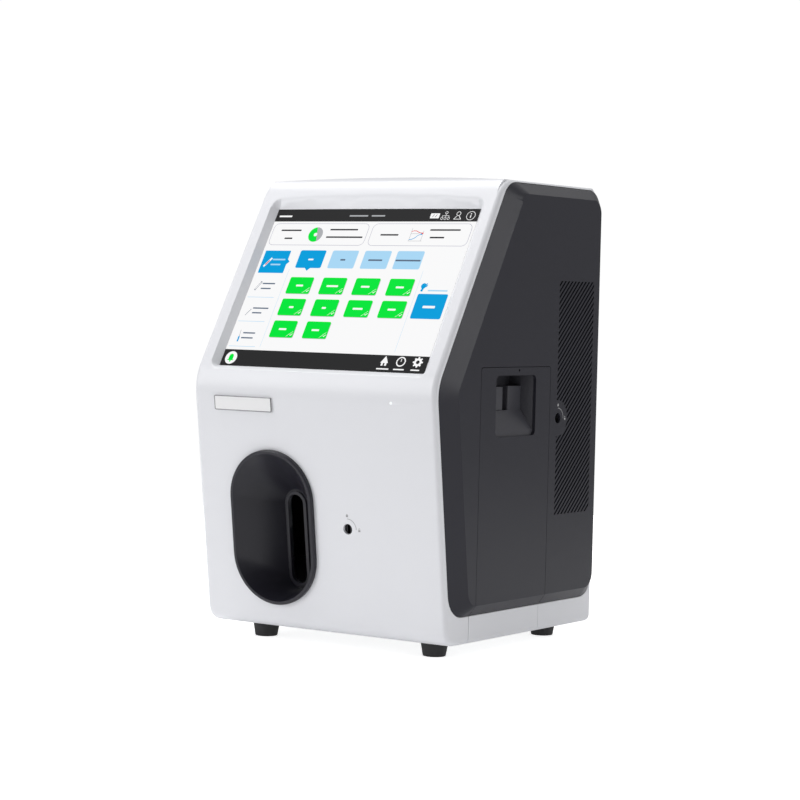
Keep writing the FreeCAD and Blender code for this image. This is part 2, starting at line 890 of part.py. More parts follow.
def base_pan():
    floor = box(-pan_x, pan_x, pan_front, pan_back, pan_low, pan_top)
    flange = box(-pan_x, pan_x, pan_back - pan_thick, pan_back, pan_low, pan_top + pan_flange)
    openings = [
        box(inlet_x - inlet_width / 2 - overrun, inlet_x + inlet_width / 2 + overrun,
            pan_back - pan_thick - overrun, pan_back + overrun,
            underside + inlet_height - inlet_tall / 2 - overrun, pan_top + pan_flange + overrun),
        box(ports_x - ports_width / 2 - overrun, ports_x + ports_width / 2 + overrun,
            pan_back - pan_thick - overrun, pan_back + overrun,
            underside + ports_height - ports_tall / 2 - overrun, pan_top + pan_flange + overrun),
    ]
    holes = [rod(x, y, pan_low - overrun, V(0, 0, 1), screw_radius + screw_clear, pan_thick + 2 * overrun)
             for x, y in foot_places()]
    rear = [rod(x, pan_back - pan_thick - overrun, z, V(0, 1, 0), screw_radius + screw_clear,
                pan_thick + 2 * overrun)
            for x, z in rear_screw_places() if z < pan_top + pan_flange]
    pan = floor.fuse(flange).removeSplitter()
    pan = round_edges(pan, heel_radius / 2, lambda edge: along(edge, V(1, 0, 0))
                      and edge.CenterOfMass.z < pan_low + seam_gap and edge.CenterOfMass.y > 0)
    return pan.cut(openings + holes + rear)


def rubber_feet():
    feet = []
    for x, y in foot_places():
        foot = Part.makeCone(foot_bottom_radius, foot_top_radius, pan_low, V(x, y, 0), V(0, 0, 1))
        foot = round_edges(foot, seam_gap * 2, lambda edge: edge.CenterOfMass.z < overrun
                           and edge.Length > foot_bottom_radius)
        recess = rod(x, y, -overrun, V(0, 0, 1), foot_recess_radius, foot_recess_depth + overrun)
        hole = rod(x, y, 0, V(0, 0, 1), screw_radius + screw_clear, pan_low + overrun)
        feet.append(foot.cut([recess, hole]))
    return Part.makeCompound(feet)


def foot_screws():
    screws = []
    for x, y in foot_places():
        head = rod(x, y, foot_recess_depth - screw_head_height, V(0, 0, 1), screw_head_radius,
                   screw_head_height)
        shank = rod(x, y, foot_recess_depth - overrun, V(0, 0, 1), screw_radius,
                    pan_top + nut_height - foot_recess_depth + overrun)
        nut = rod(x, y, pan_top, V(0, 0, 1), nut_radius, nut_height)
        screws.append(head.fuse([shank, nut]).removeSplitter())
    return Part.makeCompound(screws)


def cover_screws():
    """Pan-head screws that hold the rear cover to the base pan's flange and the top rail."""
    screws = []
    for x, z in rear_screw_places():
        seat = half_depth - screw_sink
        head = rod(x, seat, z, V(0, 1, 0), screw_head_radius, screw_head_height)
        shank = rod(x, seat - wall - 2 * nut_height, z, V(0, 1, 0), screw_radius, wall + 2 * nut_height)
        slot = box(x - screw_head_radius, x + screw_head_radius, seat + screw_head_height / 2,
                   seat + screw_head_height + overrun,
                   z - screw_clear * 2, z + screw_clear * 2)
        screws.append(head.fuse(shank).removeSplitter().cut(slot))
    return Part.makeCompound(screws)


# Bulkhead: upright sheet that carries the wet side and the main board
bulkhead_left = bulkhead_x
bulkhead_right = bulkhead_x + bulkhead_thick


def bulkhead():
    points = [
        (bulkhead_front, pan_top), (bulkhead_front, bulkhead_shoulder), (bulkhead_neck_y, bulkhead_top),
        (bulkhead_back, bulkhead_top), (bulkhead_back, pan_top),
    ]
    sheet = polygon_prism(points, bulkhead_left, bulkhead_right)
    foot = box(bulkhead_left - bulkhead_foot, bulkhead_right, bulkhead_front, supply_y - overrun, pan_top,
               pan_top + bulkhead_thick)
    shaft = rod(bulkhead_left - overrun, pump_y, underside + pump_height, V(1, 0, 0),
                pump_shaft_radius * 2, bulkhead_thick + 2 * overrun)
    return sheet.fuse(foot).removeSplitter().cut([shaft] + supply_needle_holes())


def supply_port_places():
    middle = (case_front_y + case_back_y) / 2
    z = underside + coupler_height
    return [(middle + (index - (port_count - 1) / 2) * port_pitch, z) for index in range(port_count)]


def supply_needle_holes():
    return [rod(bulkhead_left - overrun, y, z, V(1, 0, 0), supply_needle_radius + screw_clear,
                bulkhead_thick + 2 * overrun) for y, z in supply_port_places()]


def top_rail():
    """Sheet cross rail on the bulkhead that the rear cover's upper screws go into."""
    deck = box(-rail_half_width, rail_half_width, rail_front, pan_back, bulkhead_top,
               bulkhead_top + rail_thick)
    flange = box(-rail_half_width, rail_half_width, pan_back - rail_thick, pan_back,
                 bulkhead_top - rail_flange, bulkhead_top + rail_thick)
    holes = [rod(x, pan_back - rail_thick - overrun, z, V(0, 1, 0), screw_radius + screw_clear,
                 rail_thick + 2 * overrun) for x, z in rear_screw_places()]
    return deck.fuse(flange).removeSplitter().cut(holes)


# Screen stack: glass, module, bracket, driver board, cable
glass_back = -screen_sink - recess_wall - glass_thick
module_back = glass_back - module_gap - module_thick


def touch_glass():
    x = screen_width / 2 + glass_margin
    y = screen_height / 2 + glass_margin
    pane = box(-x, x, -y, y, glass_back, glass_back + glass_thick)
    raised_x = screen_width / 2 - seam_gap / 2
    raised_y = screen_height / 2 - seam_gap / 2
    raised = box(-raised_x, raised_x, -raised_y, raised_y, glass_back + glass_thick, -screen_sink)
    return on_frame(pane.fuse(raised).removeSplitter(), slope_frame())


def module_size():
    return screen_width / 2 + module_margin_x, screen_height / 2 + module_margin_y


def lcd_module():
    x, y = module_size()
    can = box(-x, x, -y, y, module_back, module_back + module_thick)
    can = round_edges(can, seam_gap * 2, lambda edge: along(edge, V(0, 0, 1)))
    return on_frame(can, slope_frame())


def display_bracket():
    x, y = module_size()
    ear_x = half_width - wall - screen_boss_inset + boss_radius
    ear_y = screen_height / 2 * bracket_ear_share
    high = module_back - module_gap
    low = high - bracket_thick
    plate = box(-x, x, -y, y, low, high)
    ears = [box(-ear_x, ear_x, sign * ear_y - boss_radius * 2, sign * ear_y + boss_radius * 2, low, high)
            for sign in (-1, 1)]
    plate = plate.fuse(ears).removeSplitter()
    holes = [rod(sx * (half_width - wall - screen_boss_inset), sy * ear_y, low - overrun, V(0, 0, 1),
                 screw_radius, bracket_thick + 2 * overrun)
             for sx in (-1, 1) for sy in (-1, 1)]
    return on_frame(plate.cut(holes), slope_frame())


def display_screws():
    screws = []
    ear_y = screen_height / 2 * bracket_ear_share
    low = module_back - module_gap - bracket_thick
    for sx in (-1, 1):
        for sy in (-1, 1):
            x = sx * (half_width - wall - screen_boss_inset)
            head = rod(x, sy * ear_y, low - screw_head_height, V(0, 0, 1), boss_radius, screw_head_height)
            shank = rod(x, sy * ear_y, low - overrun / 2, V(0, 0, 1), boss_bore - screw_clear / 2,
                        boss_radius * 2 + bracket_thick)
            screws.append(head.fuse(shank).removeSplitter())
    return on_frame(Part.makeCompound(screws), slope_frame())


def driver_board_low():
    return module_back - module_gap - bracket_thick - spacer_height - board_thick


def display_board():
    high = module_back - module_gap - bracket_thick
    low = driver_board_low()
    x = driver_board_width / 2
    y = driver_board_height / 2
    board = box(-x, x, -y, y, low, low + board_thick)
    spacers = [rod(sx * (x - board_inset), sy * (y - board_inset), low + board_thick, V(0, 0, 1),
                   board_spacer_radius, spacer_height)
               for sx in (-1, 1) for sy in (-1, 1)]
    chips = [box(sign * x / 2 - chip_size / 2, sign * x / 2 + chip_size / 2, -chip_size / 2,
                 chip_size / 2, low - chip_rise, low) for sign in (-1, 1)]
    cable_x = bulkhead_left - board_spacer - board_thick - socket_size - ribbon_thick / 2
    half = ribbon_width / 2
    socket = box(cable_x - socket_size / 2, cable_x + socket_size / 2, -half, half, low - socket_size / 2,
                 low)
    return on_frame(board.fuse(spacers + chips + [socket]).removeSplitter(), slope_frame())


# Badge plate, left blank, and the status light
def badge_plate():
    plate = box(badge_x - badge_width / 2, badge_x + badge_width / 2, badge_height - badge_tall / 2,
                badge_height + badge_tall / 2, 0, badge_thick)
    plate = round_edges(plate, badge_round, lambda edge: along(edge, V(0, 0, 1)))
    plate = round_edges(plate, badge_thick / 3, lambda edge: edge.CenterOfMass.z > badge_thick - seam_gap)
    return on_frame(plate, face_frame())


def status_light():
    pin = rod(light_x, light_height, -wall, V(0, 0, 1), light_radius - shaft_clear, wall + seam_gap / 2)
    flange = rod(light_x, light_height, -light_length, V(0, 0, 1), light_flange,
                 light_length - wall - run_gap)
    return on_frame(pin.fuse(flange).removeSplitter(), face_frame())


# Sampling bowl: dark oval funnel, proud lip, slot for the probe, and the tab that the lock holds
def sampling_bowl():
    slot_y = port_height - slot_drop
    rim_width = slot_width + 2 * slot_rim
    rim_tall = slot_tall + 2 * slot_rim
    floor_width = rim_width + 2 * slot_floor_margin
    floor_tall = rim_tall + 2 * slot_floor_margin
    mouth_width = port_width - 2 * port_lip_width
    mouth_tall = port_tall - 2 * port_lip_width
    lip = stadium_prism(port_width, port_tall, port_x, port_height, run_gap, port_proud)
    lip = round_edges(lip, port_lip / 2, lambda edge: edge.CenterOfMass.z > port_proud - seam_gap)
    neck = stadium_prism(port_body_width, port_body_tall, port_x, port_height, -port_seat, run_gap)
    back = (floor_width + 2 * port_wall, floor_tall + 2 * port_wall, port_x, slot_y, -port_depth - port_wall)
    funnel = stadium_loft(back, (port_body_width, port_body_tall, port_x, port_height, -port_seat))
    tab_z = -port_seat - cam_plane_depth()
    tab_low_x = port_x + slot_width
    tab = box(tab_low_x, bowl_tab_end, front_lock_height - bowl_tab_tall / 2,
              front_lock_height + bowl_tab_tall / 2, tab_z - bowl_tab_thick, tab_z)
    hollow = stadium_loft((floor_width, floor_tall, port_x, slot_y, -port_depth),
                          (mouth_width, mouth_tall, port_x, port_height, port_proud))
    top_cut = stadium_prism(mouth_width, mouth_tall, port_x, port_height, port_proud, port_proud + overrun)
    rim = stadium_prism(rim_width, rim_tall, port_x, slot_y, -port_depth, slot_rim_rise - port_depth)
    rim = round_edges(rim, slot_rim_rise / 2,
                      lambda edge: edge.CenterOfMass.z > slot_rim_rise - port_depth - seam_gap / 2)
    slot = stadium_prism(slot_width, slot_tall, port_x, slot_y, -port_depth - port_wall - overrun,
                         slot_rim_rise - port_depth + overrun)
    bowl = lip.fuse([neck, funnel, tab]).cut([hollow, top_cut]).fuse(rim).cut(slot)
    return on_frame(bowl, face_frame())


def cam_plane_depth():
    """From the back of the port's seat to the front of the bowl's tab: sleeve end, cam and gaps."""
    return wall + lock_sleeve_length + cam_gap + cam_thick + bowl_tab_gap - port_seat


# Sample probe, modelled on the face's frame with its pivot line along X
motor_x = port_x + probe_arm_thick / 2 + probe_motor_gap
probe_motor_length = bulkhead_x - probe_motor_clear - motor_x


def probe_arm():
    half = probe_arm_thick / 2
    hub = rod(port_x - half, pivot_y, pivot_z, V(1, 0, 0), probe_hub_radius, probe_arm_thick)
    bar = box(port_x - half, port_x + half, pivot_y - probe_arm_length, pivot_y,
              pivot_z - probe_arm_width / 2, pivot_z + probe_arm_width / 2)
    shaft_length = probe_motor_gap + probe_motor_length * 3 / 4
    shaft = rod(port_x, pivot_y, pivot_z, V(1, 0, 0), probe_shaft_radius, half + shaft_length)
    bore = rod(port_x, pivot_y - probe_arm_length - overrun, pivot_z, V(0, 1, 0), needle_radius,
               needle_grip + overrun)
    return on_frame(hub.fuse([bar, shaft]).removeSplitter().cut(bore), face_frame())


def sample_needle():
    low = pivot_y - probe_length
    length = probe_length - probe_arm_length + needle_grip
    tube = rod(port_x, low, pivot_z, V(0, 1, 0), needle_radius, length)
    bore = rod(port_x, low - overrun, pivot_z, V(0, 1, 0), needle_bore, length + 2 * overrun)
    return on_frame(tube.cut(bore), face_frame())


def probe_motor():
    body = rod(motor_x, pivot_y, pivot_z, V(1, 0, 0), probe_motor_radius, probe_motor_length)
    bore = rod(motor_x - overrun, pivot_y, pivot_z, V(1, 0, 0), probe_shaft_radius + shaft_clear,
               probe_motor_length * 7 / 8 + overrun)
    return on_frame(body.cut(bore), face_frame())


def probe_bracket():
    """Bent sheet that holds the motor and is fixed to the bulkhead."""
    right = motor_x
    left = motor_x - probe_plate_thick
    plate = box(left, right, pivot_y - probe_plate_below, pivot_y + probe_plate_above,
                pivot_z - probe_plate_back, pivot_z + probe_plate_front)
    flange = box(left, bulkhead_left, pivot_y - probe_plate_below, pivot_y + probe_plate_above,
                 pivot_z - probe_plate_back, pivot_z - probe_plate_back + probe_plate_thick)
    hole = rod(left - overrun, pivot_y, pivot_z, V(1, 0, 0), probe_shaft_radius * 2,
               probe_plate_thick + 2 * overrun)
    return on_frame(plate.fuse(flange).removeSplitter().cut(hole), face_frame())


# Quarter-turn locks: a sleeve, and a barrel with its cam. The cam hangs down when open
def lock_sleeve():
    """Sleeve behind a wall whose back face is at z = 0, with the barrel along Z."""
    outer = Part.makeCylinder(lock_radius + lock_clear + lock_sleeve_wall, lock_sleeve_length,
                              V(0, 0, -lock_sleeve_length))
    return outer.cut(Part.makeCylinder(lock_radius + shaft_clear, lock_sleeve_length + 2 * overrun,
                                       V(0, 0, -lock_sleeve_length - overrun)))


def lock_barrel(reach, wall_thick):
    """Barrel sunk in its hole, with a slotted face and a cam behind the sleeve."""
    back = -lock_sleeve_length - cam_gap - cam_thick
    front = wall_thick - lock_sink
    barrel = Part.makeCylinder(lock_radius, front - back, V(0, 0, back))
    slot = box(-lock_radius, lock_radius, -lock_socket / 4, lock_socket / 4, front - lock_socket_deep,
               front + overrun)
    slot.rotate(V(0, 0, 0), V(0, 0, 1), math.degrees(math.pi / 2))
    cam = box(-cam_width / 2, cam_width / 2, -reach, cam_width / 2, back, back + cam_thick)
    cam = round_edges(cam, cam_width / 3, lambda edge: along(edge, V(0, 0, 1)))
    return barrel.cut(slot).fuse(cam).removeSplitter()


def front_lock_frame():
    shift = FreeCAD.Placement(V(front_lock_x, front_lock_height, -wall), FreeCAD.Rotation())
    return face_frame().multiply(shift)


def side_lock_frame():
    """Frame on the inside of the right panel's wall: X to the rear, Y up, Z outwards."""
    turn = FreeCAD.Rotation(V(0, 1, 0), V(0, 0, 1), V(1, 0, 0), "ZXY")
    return FreeCAD.Placement(V(panel_face_x - panel_wall, side_lock_y, underside + side_lock_height), turn)


# Reagent pack: dark front, white skirt strip, case, end cap, coupler and bags
def pack_front():
    region = pack_region(pack_gap)
    whole = panel_whole.common(region)
    inner = box(panel_seat_x - overrun, panel_face_x, seam_low_y + pack_gap + pack_rim,
                pack_back_y - pack_gap - pack_rim,
                low_z, underside + pack_top - pack_gap - pack_rim)
    tray = whole.cut(panel_inside.common(inner))
    z_low = underside + case_bottom + post_inset + panel_low_rise()
    z_high = underside + case_top - post_inset
    posts = [box(case_outer_end + cap_thick, panel_face_x - panel_wall, y, y + post_size, z, z + post_size)
             for y in (case_front_y + post_gap, case_back_y - post_gap - post_size)
             for z in (z_low, z_high - post_size)]
    cup = grip_outer()
    hole = grip_mouth(overrun)
    pin = rod(panel_face_x - panel_wall - overrun, grip_y + pin_hole_radius * 4,
              grip_high_z + pin_hole_rise, V(1, 0, 0),
              pin_hole_radius, panel_wall + 2 * overrun)
    tray = tray.fuse(posts).removeSplitter().cut([hole, pin, cup.common(behind_face())])
    return tray


def panel_low_rise():
    """How far the panel's lower edge lies above the case's underside, plus its bevel."""
    return skirt_height + bevel_bottom - case_bottom


def behind_face():
    return box(case_outer_end, panel_face_x - panel_wall, low_y, high_y, low_z, high_z)


grip_low_y = grip_y - grip_width / 2
grip_high_y = grip_y + grip_width / 2
grip_high_z = underside + pack_top - grip_top_margin
grip_low_z = grip_high_z - grip_tall
grip_plane_x = panel_face_x - grip_depth
grip_back_x = panel_face_x - grip_deep
plate_high_y = grip_high_y - grip_draft
plate_low_y = plate_high_y - grip_plate_width
plate_low_z = grip_low_z + grip_floor_rise
plate_high_z = plate_low_z + grip_plate_tall
bar_high_y = plate_low_y - grip_bar_gap
bar_low_y = bar_high_y - grip_bar_width


def grip_mouth(past):
    """The grip's opening through the pack's front wall."""
    mouth = box(panel_face_x - panel_wall - past, panel_face_x + past, grip_low_y, grip_high_y,
                grip_low_z, grip_high_z)
    return round_edges(mouth, grip_round, lambda edge: along(edge, V(1, 0, 0)))


def grip_outer():
    shell = box(grip_back_x - grip_wall, panel_face_x - panel_wall, grip_low_y - grip_wall,
                grip_high_y + grip_wall,
                grip_low_z - grip_wall, grip_high_z + grip_wall)
    return shell


def grip_cup():
    """Pocket behind the grip's opening: sloping floor, slanting rear wall, fixed grip plate."""
    solid = box(grip_back_x - grip_wall, panel_face_x - panel_wall, grip_low_y - grip_wall,
                grip_high_y + grip_wall,
                grip_low_z - grip_wall, grip_high_z + grip_wall)
    front_x = panel_face_x
    hollow_points = [V(front_x, 0, grip_low_z), V(grip_plane_x, 0, plate_low_z),
                     V(grip_back_x, 0, plate_low_z),
                     V(grip_back_x, 0, grip_high_z), V(front_x, 0, grip_high_z)]
    hollow_points = [point + V(0, grip_low_y, 0) for point in hollow_points]
    hollow = Part.Face(Part.makePolygon(hollow_points + hollow_points[:1])).extrude(V(0, grip_width, 0))
    wedge = [V(front_x, grip_high_y, low_z), V(grip_plane_x, plate_high_y, low_z),
             V(grip_back_x, plate_high_y, low_z),
             V(grip_back_x, grip_high_y, low_z)]
    wedge = Part.Face(Part.makePolygon(wedge + wedge[:1])).extrude(V(0, 0, high_z - low_z))
    plate = box(grip_back_x, grip_plane_x, plate_low_y, plate_high_y, plate_low_z, plate_high_z)
    plate = round_edges(plate, grip_edge_round, lambda edge: along(edge, V(0, 0, 1))
                        and edge.CenterOfMass.x > grip_plane_x - overrun)
    slot = box(grip_back_x + grip_wall, grip_plane_x, grip_low_y - grip_wall - overrun,
               grip_low_y + overrun, plate_low_z, plate_high_z)
    trim = front_x - panel_wall
    cup = solid.cut(hollow.cut(wedge)).fuse(plate.common(solid)).cut(slot)
    return cup.common(box(case_outer_end + cap_thick, trim, low_y, high_y, low_z, high_z)).removeSplitter()


def release_bar():
    """Bar that is pulled towards the grip plate, on a stem that passes through the cup's side."""
    play = grip_bar_play
    face = box(grip_plane_x - grip_bar_thick, grip_plane_x, bar_low_y, bar_high_y, plate_low_z + play,
               plate_high_z - play)
    face = round_edges(face, grip_edge_round, lambda edge: along(edge, V(0, 0, 1))
                       and edge.CenterOfMass.x > grip_plane_x - overrun)
    stem = box(grip_back_x + grip_wall + play, grip_plane_x - play, grip_low_y - grip_wall - guide_length,
               bar_low_y + grip_bar_stem,
               plate_low_z + play, plate_high_z - play)
    web = box(grip_back_x + grip_wall + play, grip_plane_x, bar_high_y - grip_bar_thick, bar_high_y,
              plate_low_z + play, plate_high_z - play)
    web = round_edges(web, grip_edge_round, lambda edge: along(edge, V(0, 0, 1))
                      and edge.CenterOfMass.x > grip_plane_x - overrun)
    back = box(grip_back_x + grip_wall + play, grip_back_x + grip_wall + play + grip_bar_thick / 2,
               bar_low_y, bar_high_y,
               plate_low_z + play, plate_high_z - play)
    return face.fuse([stem, web, back]).removeSplitter()


def pack_skirt():
    """White strip of the case's skirt that moves with the pack, with a web to its case."""
    top = panel_corners[0][1] - seam_gap
    inner = half_width - floor_lip + pack_gap
    strip = case_shell.common(box(inner, half_width + overrun, seam_low_y + pack_gap,
                                  pack_back_y - pack_gap, underside, top))
    strip = strip.cut(box(inner - overrun, half_width - wall, low_y, high_y, pan_low - run_gap,
                          pan_low + overrun))
    web_low = top - skirt_web
    web = box(case_outer_end + cap_thick, half_width - wall + overrun, case_front_y, case_back_y, web_low,
              top - seam_gap / 2)
    return strip.fuse(web).removeSplitter()


case_low_z = underside + case_bottom
case_high_z = underside + case_top


def pack_case():
    outer = box(case_inner_end, case_outer_end, case_front_y, case_back_y, case_low_z, case_high_z)
    outer = round_edges(outer, case_wall, lambda edge: along(edge, V(1, 0, 0)))
    inner = box(case_inner_end + case_wall, case_outer_end + overrun, case_front_y + case_wall,
                case_back_y - case_wall,
                case_low_z + case_wall, case_high_z - case_wall)
    return outer.cut(inner)


def pack_end_cap():
    plate = box(case_outer_end, case_outer_end + cap_thick, case_front_y, case_back_y, case_low_z,
                case_high_z)
    plate = round_edges(plate, case_wall, lambda edge: along(edge, V(1, 0, 0)))
    keeper_z = underside + side_lock_height
    keeper_x = panel_face_x - panel_wall - lock_sleeve_length - 2 * cam_gap - cam_thick
    arm = box(case_outer_end + cap_thick, keeper_x, case_back_y - keeper_thick, case_back_y,
              keeper_z - keeper_tall / 2, keeper_z + keeper_tall / 2)
    hook = box(keeper_x - keeper_thick, keeper_x, case_back_y - keeper_thick, keeper_tip_y,
               keeper_z - keeper_tall / 2, keeper_z + keeper_tall / 2)
    return plate.fuse([arm, hook]).removeSplitter()


def pack_coupler():
    middle = (case_front_y + case_back_y) / 2
    z = underside + coupler_height
    block = box(case_inner_end - coupler_thick, case_inner_end, middle - coupler_width / 2,
                middle + coupler_width / 2, z - coupler_tall / 2, z + coupler_tall / 2)
    bores = [rod(case_inner_end - coupler_thick - overrun, y, port_z, V(1, 0, 0), septum_bore,
                 coupler_thick + overrun) for y, port_z in supply_port_places()]
    return block.cut(bores)


def fluid_needles():
    """Fixed steel needles in a plate on the bulkhead, which enter the pack's coupler."""
    middle = (case_front_y + case_back_y) / 2
    z = underside + coupler_height
    plate = box(bulkhead_left - needle_plate_thick, bulkhead_left, middle - coupler_width / 2,
                middle + coupler_width / 2, z - coupler_tall / 2, z + coupler_tall / 2)
    tip = case_inner_end - cam_gap
    low = bulkhead_left - needle_plate_thick - supply_needle_length
    needles = [rod(low, y, port_z, V(1, 0, 0), supply_needle_radius, tip - low) for y,
               port_z in supply_port_places()]
    return plate.fuse(needles).removeSplitter()


def reagent_bags():
    room = case_back_y - case_front_y - 2 * case_wall
    thick = (room - bag_gap * (bag_count + 1)) / bag_count
    bags = []
    for index in range(bag_count):
        y = case_front_y + case_wall + bag_gap + index * (thick + bag_gap)
        low = case_low_z + case_wall + bag_bottom
        bag = box(case_inner_end + case_wall + bag_gap, case_outer_end - bag_gap, y, y + thick, low,
                  case_high_z - case_wall - bag_headroom)
        bags.append(round_edges(bag, bag_round, lambda edge: True))
    return Part.makeCompound(bags)


def waste_bag():
    low = case_low_z + case_wall
    bag = box(case_inner_end + case_wall + bag_gap, case_outer_end - bag_gap,
              case_front_y + case_wall + bag_gap, case_back_y - case_wall - bag_gap,
              low, low + bag_bottom - case_wall - waste_headroom)
    return round_edges(bag, bag_round, lambda edge: edge.CenterOfMass.z > low + overrun)


def bag_tray():
    """Shelf in the pack that the reagent bags stand on, above the waste bag."""
    low = case_low_z + case_wall + bag_bottom - case_wall
    return box(case_inner_end + case_wall, case_outer_end, case_front_y + case_wall,
               case_back_y - case_wall, low, low + case_wall)


def pack_rails():
    """Two runners on the base pan that the pack slides on."""
    top = case_low_z - runner_gap
    rails = [box(case_inner_end, case_inner_end + runner_length, y, y + runner_width, pan_top, top)
             for y in (case_front_y + runner_inset, case_back_y - runner_inset - runner_width)]
    return Part.makeCompound(rails)


# Measuring block: heated aluminium block with the sensor card in a pocket behind a clear cover
block_left = bulkhead_left - block_post - block_thick


def block_box(inset_by, x0, x1):
    z = underside + block_height
    return box(x0, x1, block_y + inset_by, block_y + block_width - inset_by, z + inset_by,
               z + block_tall - inset_by)


def measuring_block():
    solid = block_box(0, block_left, block_left + block_thick)
    pocket = block_box(pocket_inset, block_left - overrun, block_left + pocket_depth)
    z = underside + block_height
    posts = [rod(block_left + block_thick, block_y + y, z + h, V(1, 0, 0), board_spacer_radius, block_post)
             for y in (board_inset, block_width - board_inset) for h in (board_inset,
                                                                         block_tall - board_inset)]
    return solid.cut(pocket).fuse(posts).removeSplitter()


def sensor_card():
    back = block_left + pocket_depth
    card = block_box(pocket_inset + card_gap, back - card_thick, back)
    z0 = underside + block_height + pocket_inset
    step_y = (block_width - 2 * pocket_inset) / sensor_columns
    step_z = (block_tall - 2 * pocket_inset) / sensor_rows
    buttons = []
    for column in range(sensor_columns):
        for row in range(sensor_rows):
            y = block_y + pocket_inset + (column + 0.5) * step_y
            z = z0 + (row + 0.5) * step_z
            buttons.append(rod(back - card_thick - sensor_rise, y, z, V(1, 0, 0), sensor_radius, sensor_rise))
    return card.fuse(buttons).removeSplitter()


def sensor_cover():
    return block_box(pocket_inset / 2, block_left - cover_thick, block_left)


# Peristaltic pump on the bulkhead: motor, head, rotor with rollers, tube
pump_z = underside + pump_height
head_right = bulkhead_left - pump_motor_length
head_left = head_right - pump_head_depth


def pump_motor():
    body = rod(head_right, pump_y, pump_z, V(1, 0, 0), pump_motor_radius, pump_motor_length)
    bore = rod(head_right - overrun, pump_y, pump_z, V(1, 0, 0), pump_shaft_radius + shaft_clear,
               pump_motor_length / 2 + overrun)
    return body.cut(bore)


def pump_head():
    half = pump_head_size / 2
    block = box(head_left, head_right, pump_y - half, pump_y + half, pump_z - half, pump_z + half)
    block = round_edges(block, edge_round, lambda edge: along(edge, V(1, 0, 0)))
    bore = rod(head_left - overrun, pump_y, pump_z, V(1, 0, 0), pump_bore_radius,
               pump_head_depth - pump_head_floor + overrun)
    hole = rod(head_right - pump_head_floor - overrun, pump_y, pump_z, V(1, 0, 0), pump_shaft_radius * 2,
               pump_head_floor + 2 * overrun)
    mouth_y = tube_mid_radius + tube_radius + run_gap
    mouth = box(head_left - overrun, head_right - pump_head_floor, pump_y - mouth_y, pump_y + mouth_y,
                pump_z - half - overrun, pump_z)
    return block.cut([bore, hole, mouth])


def roller_places():
    step = 2 * math.pi / roller_count
    return [(pump_y + roller_orbit * math.cos(index * step),
             pump_z + roller_orbit * math.sin(index * step)) for index in range(roller_count)]


rotor_low_x = head_left + run_gap
rotor_high_x = head_right - pump_head_floor - overrun


def pump_rotor():
    plates = [rod(x, pump_y, pump_z, V(1, 0, 0), rotor_radius + roller_pin_radius * 2, rotor_plate)
              for x in (rotor_low_x, rotor_high_x - rotor_plate)]
    hub = rod(rotor_low_x, pump_y, pump_z, V(1, 0, 0), rotor_hub_radius, rotor_high_x - rotor_low_x)
    shaft = rod(rotor_low_x, pump_y, pump_z, V(1, 0, 0), pump_shaft_radius,
                head_right - rotor_low_x + pump_motor_length / 3)
    pins = [rod(rotor_low_x, y, z, V(1, 0, 0), roller_pin_radius, rotor_high_x - rotor_low_x) for y,
            z in roller_places()]
    return hub.fuse(plates + [shaft] + pins).removeSplitter()


def pump_rollers():
    x0 = rotor_low_x + rotor_plate + roller_gap
    x1 = rotor_high_x - rotor_plate - roller_gap
    rollers = [rod(x0, y, z, V(1, 0, 0), roller_radius,
                   x1 - x0).cut(rod(x0 - overrun, y, z, V(1, 0, 0), roller_pin_radius + shaft_clear,
                                    x1 - x0 + 2 * overrun))
               for y, z in roller_places()]
    return Part.makeCompound(rollers)


def pump_tube():
    """Soft tube round the upper half of the bore, with both ends leading down and out."""
    x = (rotor_low_x + rotor_high_x) / 2
    low = pump_z - tube_tail - tube_mid_radius
    path = [
        Part.makeLine(V(x, pump_y - tube_mid_radius, low), V(x, pump_y - tube_mid_radius, pump_z)),
        Part.Arc(V(x, pump_y - tube_mid_radius, pump_z), V(x, pump_y, pump_z + tube_mid_radius),
                 V(x, pump_y + tube_mid_radius, pump_z)).toShape(),
        Part.makeLine(V(x, pump_y + tube_mid_radius, pump_z), V(x, pump_y + tube_mid_radius, low)),
    ]
    ring = Part.Wire(Part.makeCircle(tube_radius, V(x, pump_y - tube_mid_radius, low), V(0, 0, 1)))
    tube = Part.Wire(path).makePipeShell([ring], True, False)
    return tube


# Pinch valves on a plate on the bulkhead
def valve_places():
    return [valve_y + (index - (valve_count - 1) / 2) * valve_pitch for index in range(valve_count)]


def valve_plate_block():
    z = underside + valve_height
    half = (valve_count - 1) / 2 * valve_pitch + valve_size / 2 + valve_plate_margin
    tall = valve_size / 2 + valve_plate_margin
    return box(bulkhead_left - valve_plate, bulkhead_left, valve_y - half, valve_y + half, z - tall, z + tall)


def solenoid_valves():
    z = underside + valve_height
    right = bulkhead_left - valve_plate
    half = valve_size / 2
    valves = []
    for y in valve_places():
        can = box(right - valve_length, right, y - half, y + half, z - half, z + half)
        can = round_edges(can, overrun, lambda edge: along(edge, V(1, 0, 0)))
        core = rod(right - valve_length - valve_core_length, y, z, V(1, 0, 0), valve_core_radius,
                   valve_core_length)
        valves.append(can.fuse(core).removeSplitter())
    return Part.makeCompound(valves)


# Main board on the bulkhead, and its spacers
def board_corners():
    z = underside + board_bottom
    return [(board_y + y, z + h) for y in (board_inset, board_width - board_inset)
            for h in (board_inset, board_tall - board_inset)]


